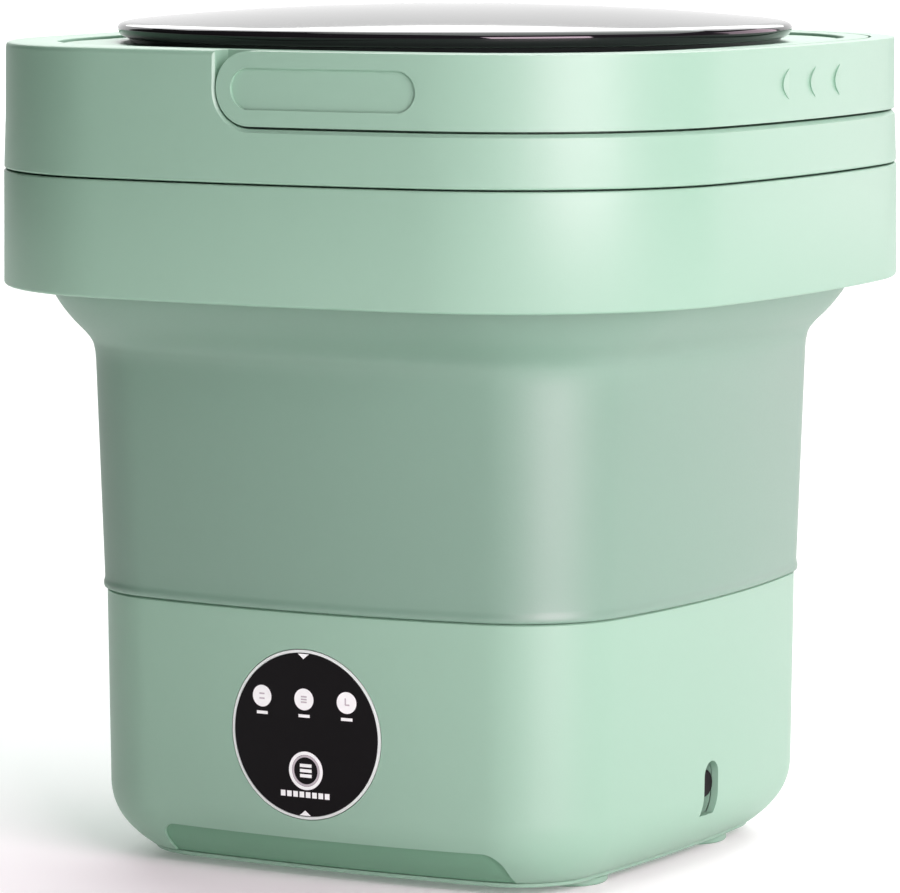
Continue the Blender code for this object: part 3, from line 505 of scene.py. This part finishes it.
# ---------------------------------------------------------------- Bottom cover, feet and screws
# The cover closes the base from below and stands on four round moulded feet. Its edge shows as a
# light strip under the rounding. Four zinc-plated screws run up into the tub floor's posts.
cover_low, cover_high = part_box("bottom_cover")
step_z = SHELL_FOOT - 0.0003
inner_half = base_half(SHELL_FOOT) - BASE_WALL - 0.0003
edge_half = BASE_FOOT_HALF + 0.0014
cover_profile = [(edge_half - 0.0008, cover_low.z), (edge_half - 0.0003, cover_low.z + 0.0002),
                 (edge_half, cover_low.z + 0.0006), (edge_half, step_z - 0.0002),
                 (edge_half - 0.0002, step_z), (inner_half, step_z), (inner_half, cover_high.z)]
SCREW_HEAD_HOLE = 0.0034
SCREW_SHANK_HOLE = 0.0018
cover_rings = [base_loop(half, z) for half, z in cover_profile]
cover = piece(skin(cover_rings, closed=False), "underside_cover", body_plastic)
for corner in range(1, 5):
    low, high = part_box(f"cover_screw_{corner}")
    place = Matrix.Translation(((low.x + high.x) / 2, (low.y + high.y) / 2, 0))
    carve(cover, rod(SCREW_HEAD_HOLE, 0, 0.0052, 32, place))
    carve(cover, rod(SCREW_SHANK_HOLE, 0, 0.01, 24, place))
ease_edges(cover, 0.0003)
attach(cover, "base")
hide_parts("bottom_cover")

foot_plastic = moulded("foot_plastic", shade(BODY_GREEN, 0.93), 0.5, 0.00003)
for corner in range(1, 5):
    low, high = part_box(f"foot_{corner}")
    radius = (high.x - low.x) / 2
    place = Matrix.Translation(((low.x + high.x) / 2, (low.y + high.y) / 2, 0))
    profile = [(0, 0), (radius - 0.0011, 0), (radius - 0.0004, 0.0003), (radius, 0.0009),
               (radius, high.z - 0.0003), (radius - 0.0003, high.z), (0, high.z)]
    foot = piece(turned(profile, 64, place), f"round_foot_{corner}", foot_plastic)
    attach(foot, "base")
    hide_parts(f"foot_{corner}")

# ---------------------------------------------------------------- Folding wall
# Soft elastomer wall, a shade deeper and more matt than the housing. Its lip laps the base's top
# edge, the side tapers out to a crease, and it flares to the clamp inside the collar.
WALL_GREEN = (0.143, 0.284, 0.198)
SOFT_WALL = 0.002
CREASE_HALF = 0.1054
WALL_TOP_HALF = 0.1212
WALL_FLANGE_HALF = 0.1265
WALL_FLANGE_LOW = 0.1993
WALL_LAP_HALF = 0.1003
WALL_LAP_INNER = 0.0940
SIDE_LOW = 0.0962
SIDE_TOP = 0.1690
COLLAR_HALF = 0.136
COLLAR_SIDE_RADIUS = 0.548
COLLAR_CORNER_RADIUS = 0.0816


def collar_loop(half, z):
    """Outline of the collar, the ring and the lid at one height."""
    shift = COLLAR_HALF - half
    points = outline(half, COLLAR_SIDE_RADIUS - shift, COLLAR_CORNER_RADIUS - shift)
    return [Vector((x, y, z)) for x, y in points]


def wall_loop(half, z, inset=0.0):
    """Outline of the folding wall: the base's outline below, easing into the collar's above."""
    ease = min(max((half - CREASE_HALF) / (WALL_TOP_HALF - CREASE_HALF), 0), 1)
    grown = half - WALL_FOOT_HALF
    shift = COLLAR_HALF - half
    side = (1 - ease) * (BASE_SIDE_RADIUS + grown) + ease * (COLLAR_SIDE_RADIUS - shift)
    corner = (1 - ease) * (BASE_CORNER_RADIUS + grown) + ease * (COLLAR_CORNER_RADIUS - shift)
    return [Vector((x, y, z)) for x, y in outline(half - inset, side - inset, corner - inset)]


def curve_through(points, count):
    """Evenly counted points of a smooth curve through a few (half, height) points."""
    spots = [Vector(point) for point in points]
    spots = [2 * spots[0] - spots[1]] + spots + [2 * spots[-1] - spots[-2]]
    made = []
    spans = len(points) - 1
    for step in range(count + 1):
        place = spans * step / count
        span = min(int(place), spans - 1)
        t = place - span
        before, start, end, after = spots[span:span + 4]
        made.append(0.5 * (2 * start + (end - before) * t
                           + (2 * before - 5 * start + 4 * end - after) * t ** 2
                           + (3 * start - before - 3 * end + after) * t ** 3))
    return [(point.x, point.y) for point in made]


wall_low, wall_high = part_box("folding_wall")
lip = [(0.1022, wall_low.z), (0.1027, wall_low.z + 0.0002), (0.1029, wall_low.z + 0.0008),
       (0.1029, wall_low.z + 0.0017), (0.1027, wall_low.z + 0.0024),
       (WALL_FOOT_HALF + 0.00005, wall_low.z + 0.0031)]
side = [(WALL_FOOT_HALF + (CREASE_HALF - 0.00035 - WALL_FOOT_HALF) * step / 14,
         SIDE_LOW + (SIDE_TOP - SIDE_LOW) * step / 14) for step in range(15)]
flare = curve_through([(0.10527, 0.1720), (0.1062, 0.1757), (0.1086, 0.1790), (0.1125, 0.1830),
                       (0.1164, 0.1877), (0.1194, 0.1925), (WALL_TOP_HALF, 0.1985)], 26)
outer = lip + side + flare
flange_top = wall_high.z
rings = [wall_loop(half, z) for half, z in outer]
rings += [collar_loop(WALL_FLANGE_HALF, WALL_FLANGE_LOW), collar_loop(WALL_FLANGE_HALF, flange_top),
          wall_loop(WALL_TOP_HALF, flange_top, SOFT_WALL)]
rings += [wall_loop(half, z, SOFT_WALL) for half, z in reversed(outer[len(lip) - 1:])]
rings += [wall_loop(WALL_LAP_HALF, wall_low.z + SOFT_WALL),
          wall_loop(WALL_LAP_INNER, wall_low.z + SOFT_WALL), wall_loop(WALL_LAP_INNER, wall_low.z)]
soft_finish = Finish("soft_elastomer", Specular_IOR_Level=1.0, Sheen_Weight=0.04)
slow = soft_finish.noise(7.0, 3.0)
fine = soft_finish.noise(1100.0, 3.0)
soft_finish.vary(Base_Color=soft_finish.tint(shade(WALL_GREEN, 0.96), shade(WALL_GREEN, 1.04), slow),
                 Roughness=slow * 0.08 + fine * 0.08 + 0.42)
soft_finish.emboss(fine, 0.000016)
folding_wall = piece(skin(rings, closed=True), "soft_wall", soft_finish.material, 60)
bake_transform(folding_wall)
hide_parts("folding_wall")

# ---------------------------------------------------------------- Collar skirt
# Lower band of the collar, an even moulding with a rounded lower edge and an inward ledge that
# carries the folding wall's upper flange.
skirt_low, skirt_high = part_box("collar_skirt")
PLASTIC = 0.0025
LEDGE_TOP = 0.199
LEDGE_LOW = 0.1965
LEDGE_HALF = 0.1218
SEAM_HALF = 0.1356
skirt = [(COLLAR_HALF, skirt_low.z + 0.0012), (SEAM_HALF + 0.0001, skirt_high.z - 0.0004),
         (SEAM_HALF - 0.0004, skirt_high.z), (SEAM_HALF - PLASTIC, skirt_high.z),
         (COLLAR_HALF - PLASTIC, LEDGE_TOP), (LEDGE_HALF, LEDGE_TOP), (LEDGE_HALF, LEDGE_LOW),
         (COLLAR_HALF - PLASTIC, LEDGE_LOW), (COLLAR_HALF - PLASTIC + 0.0003, skirt_low.z),
         (COLLAR_HALF - 0.0010, skirt_low.z), (COLLAR_HALF - 0.0003, skirt_low.z + 0.0003)]
skirt_rings = [collar_loop(half, z) for half, z in soften(skirt, 0.0004)]
collar_skirt = piece(skin(skirt_rings, closed=True), "collar_band", body_plastic)
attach(collar_skirt, "upper")
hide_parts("collar_skirt")

# ---------------------------------------------------------------- Upper ring
# Upper band of the collar with the flat land round the lid, the lid's seat, the inner wall and
# the pocket that the carry handle lies in, whose outer edge has a small chamfer.
handle_low, handle_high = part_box("carry_handle")
RIM_Z = handle_high.z
PIVOT_Z = (handle_low.z + handle_high.z) / 2
HANDLE_RADIUS = (handle_high.z - handle_low.z) / 2
RIM_HALF = 0.1348
HANDLE_THICKNESS = 0.008
SWEEP_GAP = 0.00085
LAND_HALF = 0.1174
SEAT_HALF = 0.111
LID_SEAT = 0.2715
UNDER_SEAT = LID_SEAT - PLASTIC
SEAM_Z_UPPER = 0.2341
SKIRT_LOW = 0.2065
INNER_WALL = 0.1145
pocket_back = RIM_HALF - HANDLE_THICKNESS - SWEEP_GAP - 0.0001
core = pocket_back - PLASTIC
under_pocket = handle_low.z - SWEEP_GAP - PLASTIC


def bail(inner_half, outer_half, end_radius, top, round_above, flare=0.0):
    """Bail round the +X half of the ring, its ends round about the handle's pivot.

    The flare is how much larger its ends and its lower side are at the outer face. Without
    round_above the ends stay open straight up to the top.
    """
    far_radius = end_radius + flare
    ends = {-1: [], 1: []}
    for side_sign, stations in ends.items():
        for step in range(1, 21):
            turn = math.radians(88.5) * step / 20
            rise = end_radius * math.cos(turn)
            far_rise = far_radius * math.cos(turn)
            high = PIVOT_Z + rise if round_above else top
            stations.append(((-end_radius * math.sin(turn), side_sign * inner_half),
                             (-far_radius * math.sin(turn), side_sign * outer_half),
                             PIVOT_Z - rise, PIVOT_Z - far_rise, high))
    inner = collar_loop(inner_half, 0)
    outer_points = collar_loop(outer_half, 0)
    half_way = len(inner) // 2 + 1
    middle = [((a.x, a.y), (b.x, b.y), PIVOT_Z - end_radius, PIVOT_Z - far_radius, top)
              for a, b in zip(inner[:half_way], outer_points[:half_way])]
    bail_rings = []
    for near, far, near_low, far_low, high in ends[-1][::-1] + middle + ends[1]:
        bail_rings.append([Vector((*near, near_low)), Vector((*far, far_low)),
                           Vector((*far, high)), Vector((*near, high))])
    return skin(bail_rings, closed=False)


ring = [(SEAM_HALF - 0.0004, SEAM_Z_UPPER), (SEAM_HALF, SEAM_Z_UPPER + 0.0005), (0.1350, 0.2523),
        (RIM_HALF, RIM_Z - 0.0014), (RIM_HALF - 0.0005, RIM_Z - 0.0004), (RIM_HALF - 0.0015, RIM_Z),
        (LAND_HALF, RIM_Z), (LAND_HALF, LID_SEAT), (SEAT_HALF, LID_SEAT), (SEAT_HALF, UNDER_SEAT),
        (INNER_WALL - 0.0005, UNDER_SEAT - 0.0026), (INNER_WALL, SKIRT_LOW),
        (INNER_WALL + 0.0020, SKIRT_LOW), (INNER_WALL + 0.0020, UNDER_SEAT),
        (LAND_HALF + PLASTIC, UNDER_SEAT), (LAND_HALF + PLASTIC, RIM_Z - PLASTIC),
        (core, RIM_Z - PLASTIC), (core, under_pocket), (SEAM_HALF - PLASTIC - 0.0003, under_pocket),
        (SEAM_HALF - PLASTIC, SEAM_Z_UPPER)]
ring_rings = [collar_loop(half, z) for half, z in soften(ring, 0.0007)]
upper_ring = piece(skin(ring_rings, closed=True), "rim_band", body_plastic)
pocket_radius = HANDLE_RADIUS + SWEEP_GAP
POCKET_CHAMFER = 0.0009
carve(upper_ring, bail(pocket_back, 0.145, pocket_radius, RIM_Z + 0.01, False))
carve(upper_ring, bail(RIM_HALF - POCKET_CHAMFER, RIM_HALF + 0.0011, pocket_radius, RIM_Z + 0.01,
                       False, flare=POCKET_CHAMFER + 0.0011))
ease_edges(upper_ring, 0.0004)
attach(upper_ring, "upper")
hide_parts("upper_ring")

# ---------------------------------------------------------------- Carry handle
# One moulded bail that lies flush in its pocket. Each end has a sunk capsule over its pin, and
# the grip has three thumb marks, each a small ramp that rises to a curved edge.
handle = piece(bail(RIM_HALF - HANDLE_THICKNESS, RIM_HALF, HANDLE_RADIUS, RIM_Z, True),
               "swing_handle", body_plastic)
CAPSULE_LENGTH = 0.0527
CAPSULE_RADIUS = 0.0067
CAPSULE_DEPTH = 0.0010
PIN_HOLE = 0.0032
sunk_band = [(RIM_HALF - CAPSULE_DEPTH, 0.25), (RIM_HALF - CAPSULE_DEPTH, 0.28),
             (RIM_HALF + 0.004, 0.28), (RIM_HALF + 0.004, 0.25)]
for turn in (90, -90):
    place = facing_front(0, PIVOT_Z, turn)
    carve(handle, rod(PIN_HOLE, 0.12, 0.1315, 32, place))
    carve(handle, common(slab(capsule(CAPSULE_LENGTH, CAPSULE_RADIUS), 0.12, 0.14, place),
                         skin([collar_loop(half, z) for half, z in sunk_band], closed=True)))
ease_edges(handle, 0.0005)
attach(handle, "handle")
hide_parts("carry_handle")

MARK_HALF_HEIGHT = 0.0052
MARK_BOW = 0.0052
MARK_WIDTH = 0.0056
MARK_RISE = 0.0007
MARK_SUNK = 0.0012
MARK_ROWS = 16
for number, y in enumerate((-0.0177, 0.0018, 0.0208), start=1):
    mark = bmesh.new()
    columns = []
    for across in range(7):
        share = max(across - 1, 0) / 5
        column = []
        for along in range(MARK_ROWS + 1):
            lift = -1 + 2 * along / MARK_ROWS
            bow = 1 - lift ** 2
            spot_y = y - MARK_BOW * bow + share * MARK_WIDTH * bow + (0.0003 if across == 0 else 0)
            rise = MARK_RISE * (1 - share) ** 1.3 * bow ** 0.5 if across else -0.0004
            bulge = COLLAR_SIDE_RADIUS - math.sqrt(COLLAR_SIDE_RADIUS ** 2 - spot_y ** 2)
            spot_x = RIM_HALF - bulge + rise - 0.00003
            column.append(mark.verts.new((spot_x, spot_y, PIVOT_Z + MARK_HALF_HEIGHT * lift)))
        columns.append(column)
    for left, right in zip(columns, columns[1:]):
        for index in range(MARK_ROWS):
            mark.faces.new((left[index], right[index], right[index + 1], left[index + 1]))
    edge = columns[0] + columns[-1][::-1]
    back = [mark.verts.new((vertex.co.x - MARK_SUNK, vertex.co.y, vertex.co.z)) for vertex in edge]
    for index in range(len(edge)):
        after = (index + 1) % len(edge)
        mark.faces.new((edge[index], edge[after], back[after], back[index]))
    mark.faces.new(back)
    thumb_mark = piece(mark, f"thumb_mark_{number}", body_plastic, 40)
    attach(thumb_mark, "handle")

# ---------------------------------------------------------------- Lid
# Square lid plate a little below the land, with a glossy dark tinted dome that overhangs it. The
# dome's edge is a full round over an undercut, and a spigot below it snaps into the retainer.
plate_low, plate_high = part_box("lid_plate")
window_low, window_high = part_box("lid_window")
LID_HALF = plate_high.x
WINDOW_RADIUS = (window_high.x - window_low.x) / 2
APEX_Z = window_high.z


def round_loop(radius, z):
    """Circle whose points lie at the same angles as the points of the lid's outline."""
    return [Vector((point.x, point.y, 0)).normalized() * radius + Vector((0, 0, z))
            for point in collar_loop(LID_HALF, 0)]


PLATE_HOLE = 0.1009
PLATE_SIDE = 0.0024
plate_top = plate_high.z
under = plate_top - PLASTIC
rings = [collar_loop(LID_HALF, plate_low.z), collar_loop(LID_HALF, plate_top - 0.0009),
         collar_loop(LID_HALF - 0.0003, plate_top - 0.0003), collar_loop(LID_HALF - 0.0009, plate_top),
         round_loop(PLATE_HOLE + 0.0003, plate_top), round_loop(PLATE_HOLE, plate_top - 0.0003),
         round_loop(PLATE_HOLE, under), collar_loop(LID_HALF - PLATE_SIDE, under),
         collar_loop(LID_HALF - PLATE_SIDE, plate_low.z)]
lid_plate = piece(skin(rings, closed=True), "lid_board", body_plastic)
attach(lid_plate, "lid")
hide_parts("lid_plate")

CROWN_DROP = 0.0055
CROWN_BEND = 2.2
SPIGOT_OUTER = 0.0996
SPIGOT_INNER = 0.0971
crown = [(WINDOW_RADIUS * share, APEX_Z - CROWN_DROP * share ** CROWN_BEND) for share in
         (0, 0.12, 0.25, 0.4, 0.55, 0.7, 0.82, 0.9, 0.945)]
shoulder = curve_through([crown[-1], (0.1108, 0.2824), (0.1132, 0.2817), (WINDOW_RADIUS, 0.2804),
                          (0.1138, 0.2788), (0.1126, 0.2775), (0.1108, 0.2768)], 24)
seat_z = window_low.z
foot_z = plate_top + 0.0003
window = crown[:-1] + shoulder
window += [(0.1100, foot_z), (SPIGOT_OUTER, foot_z), (SPIGOT_OUTER, seat_z + 0.0004),
           (SPIGOT_OUTER - 0.0004, seat_z), (SPIGOT_INNER + 0.0004, seat_z),
           (SPIGOT_INNER, seat_z + 0.0004), (SPIGOT_INNER, 0.2792), (0.075, 0.2823), (0.040, 0.2840),
           (0, 0.2848)]
tinted = Finish("tinted_window", IOR=1.5, Coat_IOR=1.5)
swirl = tinted.noise(6.0, 2.0)
scuff = tinted.noise(260.0, 4.0, (1, 1, 0.2))
tinted.vary(Base_Color=tinted.tint((0.006, 0.006, 0.007), (0.010, 0.009, 0.011), swirl),
            Roughness=scuff * 0.03 + 0.03, Coat_Weight=swirl * 0.3)
window_dome = piece(turned(window, 192), "domed_window", tinted.material)
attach(window_dome, "lid")
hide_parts("lid_window")

# ---------------------------------------------------------------- Touch panel
# Black film disc in a thin white trim ring, following the bulge of the front face. Three round
# keys, a ring key and plain printed marks are screened on it in white.
PANEL_RADIUS = TRIM_RADIUS - 0.0010
film = Finish("panel_film", Specular_IOR_Level=0.1)
smudge = film.noise(60.0, 4.0)
speck = film.noise(1500.0, 2.0)
film.vary(Base_Color=film.tint((0.0030, 0.0030, 0.0032), (0.0045, 0.0045, 0.0048), smudge),
          Roughness=smudge * 0.14 + 0.26)
film.emboss(speck, 0.000004)
panel = piece(rod(PANEL_RADIUS - 0.0001, 0.09, 0.12, 128, facing_front(0, PANEL_Z)), "panel_disc",
              film.material)
carve(panel, base_band(0.0015, -0.0002, 0.02, 0.09), "INTERSECT")
ease_edges(panel, 0.0002)
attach(panel, "base")
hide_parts("touch_panel")

white_trim = moulded("white_trim", (0.62, 0.74, 0.67), 0.4)
trim_shape = turned([(PANEL_RADIUS + 0.0001, 0.09), (TRIM_RADIUS, 0.09), (TRIM_RADIUS, 0.12),
                     (PANEL_RADIUS + 0.0001, 0.12)], 128, facing_front(0, PANEL_Z))
trim = piece(trim_shape, "panel_ring", white_trim)
carve(trim, base_band(0.0015, -0.00015, 0.02, 0.09), "INTERSECT")
ease_edges(trim, 0.0001)
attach(trim, "base")
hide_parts("panel_trim")


def front_face(x, z, lift):
    """Point on the front face, lifted off it."""
    half = base_half(z)
    side_radius = BASE_SIDE_RADIUS + SIDE_FLATTENING * (WALL_FOOT_HALF - half)
    return Vector((x, -(half - side_radius + math.sqrt(side_radius ** 2 - x ** 2)) - lift, z))


PRINT_FOOT = 0.0001
PRINT_LIFT = 0.00030


def printed(points, foot=PRINT_FOOT, top=PRINT_LIFT):
    """Thin raised patch of screen print, from its outline of (x, height above the panel's middle)."""
    return skin([[front_face(x, PANEL_Z + z, lift) for x, z in points] for lift in (foot, top)],
                closed=False)


def print_ring(x, z, outer_radius, inner_radius, steps=72):
    """Printed ring, or a printed disc where the inner radius is 0."""
    turns = [2 * math.pi * step / steps for step in range(steps)]
    if inner_radius == 0:
        return printed([(x + outer_radius * math.cos(t), z + outer_radius * math.sin(t)) for t in turns])
    rings = []
    for radius, lift in ((inner_radius, PRINT_FOOT), (outer_radius, PRINT_FOOT),
                         (outer_radius, PRINT_LIFT), (inner_radius, PRINT_LIFT)):
        rings.append([front_face(x + radius * math.cos(t), PANEL_Z + z + radius * math.sin(t), lift)
                      for t in turns])
    return skin(rings, closed=True)


def bar(x, z, width, height):
    w, h = width / 2, height / 2
    return [(x - w, z - h), (x + w, z - h), (x + w, z + h), (x - w, z + h)]


white_ink = Finish("white_ink", Specular_IOR_Level=0.3)
ink_tone = white_ink.noise(400.0, 3.0)
white_ink.vary(Base_Color=white_ink.tint((0.78, 0.88, 0.82), (0.84, 0.94, 0.88), ink_tone),
               Roughness=ink_tone * 0.1 + 0.4)
grey_ink = Finish("grey_ink", Specular_IOR_Level=0.3)
grey_tone = grey_ink.noise(400.0, 3.0)
grey_ink.vary(Base_Color=grey_ink.tint((0.40, 0.41, 0.41), (0.48, 0.49, 0.49), grey_tone),
              Roughness=grey_tone * 0.1 + 0.4)
prints = []
KEY_ROW = 0.0118
KEY_RADIUS = 0.0036
KEY_LABEL_DROP = 0.0055
for number, x in enumerate((-0.0162, 0.0, 0.0160), start=1):
    prints.append((print_ring(x, KEY_ROW, KEY_RADIUS, 0), f"key_disc_{number}", white_ink))
    key_label = printed(bar(x, KEY_ROW - KEY_LABEL_DROP, 0.0042, 0.0010))
    prints.append((key_label, f"key_label_{number}", white_ink))
RING_ROW = -0.0119
LABEL_ROW = -0.0199
RING_X = 0.0004
prints.append((print_ring(RING_X, RING_ROW, 0.0064, 0.0053), "ring_key_outer", white_ink))
prints.append((print_ring(RING_X, RING_ROW, 0.0052, 0.0045), "ring_key_inner", grey_ink))
for number, z in enumerate((-0.0017, 0.0, 0.0017), start=1):
    ring_bar = printed(bar(RING_X, RING_ROW + z, 0.0044, 0.0011))
    prints.append((ring_bar, f"ring_key_bar_{number}", white_ink))
for number in range(8):
    label_mark = printed(bar(-0.0084 + 0.0024 * number, LABEL_ROW, 0.0017, 0.0019))
    prints.append((label_mark, f"label_mark_{number + 1}", white_ink))
NOTCH_RIM = PANEL_RADIUS - 0.0003
NOTCH_HALF = 0.0021
NOTCH_DEPTH = 0.0017
for name, end in (("notch_top", 1), ("notch_foot", -1)):
    notch = printed([(-NOTCH_HALF * end, NOTCH_RIM * end), (NOTCH_HALF * end, NOTCH_RIM * end),
                     (0, (NOTCH_RIM - NOTCH_DEPTH) * end)])
    prints.append((notch, name, white_ink))
for shape, name, ink in prints:
    mark = piece(shape, name, ink.material)
    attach(mark, "base")


def key_glyph(name, x, strokes):
    """Grey strokes over a key's white disc."""
    for number, (dx, dz, width, height) in enumerate(strokes, start=1):
        shape = printed(bar(x + dx, KEY_ROW + dz, width, height), 0.0002, PRINT_LIFT + 0.00004)
        stroke = piece(shape, f"{name}_{number}", grey_ink.material)
        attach(stroke, "base")


key_glyph("key_mark_low", -0.0162, [(0, 0.0008, 0.0020, 0.0005), (0, -0.0008, 0.0020, 0.0005)])
key_glyph("key_mark_mid", 0.0, [(0, 0.0009, 0.0022, 0.0005), (0, 0, 0.0022, 0.0005),
                                (0, -0.0009, 0.0022, 0.0005)])
key_glyph("key_mark_high", 0.0160, [(-0.0004, 0.0004, 0.0005, 0.0022),
                                    (0.0003, -0.0007, 0.0016, 0.0005)])

# ---------------------------------------------------------------- Works and inner parts
# What the frame already shapes keeps its solid: each gets the finish of its real material.
tub_plastic = moulded("tub_plastic", (0.80, 0.82, 0.80), 0.35)
natural_plastic = moulded("natural_acetal", (0.62, 0.62, 0.57), 0.42)
black_plastic = moulded("black_plastic", (0.006, 0.006, 0.006), 0.5, specular=0.3)
rubber_finish = Finish("black_rubber", Specular_IOR_Level=0.15)
rubber_grain = rubber_finish.noise(700.0, 4.0)
rubber_tone = rubber_finish.tint((0.003, 0.003, 0.003), (0.006, 0.006, 0.006), rubber_grain)
rubber_finish.vary(Base_Color=rubber_tone, Roughness=rubber_grain * 0.15 + 0.55)
rubber_finish.emboss(rubber_grain, 0.00004)


def metal(name, colour, roughness):
    """Plated or machined metal with fine drawn lines and an uneven polish."""
    finish = Finish(name, Metallic=1.0)
    lines = finish.noise(500.0, 3.0, (1, 1, 6))
    cloud = finish.noise(40.0, 2.0)
    finish.vary(Base_Color=finish.tint(shade(colour, 0.88), shade(colour, 1.06), cloud),
                Roughness=lines * 0.16 + (roughness - 0.05))
    finish.emboss(lines, 0.00001)
    return finish.material


steel = metal("zinc_plate", (0.58, 0.59, 0.60), 0.32)
bronze = metal("sintered_bronze", (0.52, 0.35, 0.19), 0.42)
board_finish = Finish("solder_mask", Coat_IOR=1.5)
board_cells = board_finish.noise(180.0, 5.0)
board_finish.vary(Base_Color=board_finish.tint((0.015, 0.09, 0.04), (0.04, 0.22, 0.10), board_cells),
                  Roughness=board_cells * 0.2 + 0.3)
finishes = {
    "tub": tub_plastic,
    "natural_plastic": natural_plastic,
    "black_plastic": black_plastic,
    "black_rubber": rubber_finish.material,
    "steel": steel,
    "bronze": bronze,
    "circuit_board": board_finish.material,
    "housing": body_plastic,
}
slot_of = {row["node"]: row["material_slot"] for row in frame["record"]["subparts"]}
for node, solid in frame["nodes"].items():
    material = finishes.get(slot_of[node])
    if material is None:
        continue
    solid.data.materials.clear()
    solid.data.materials.append(material)
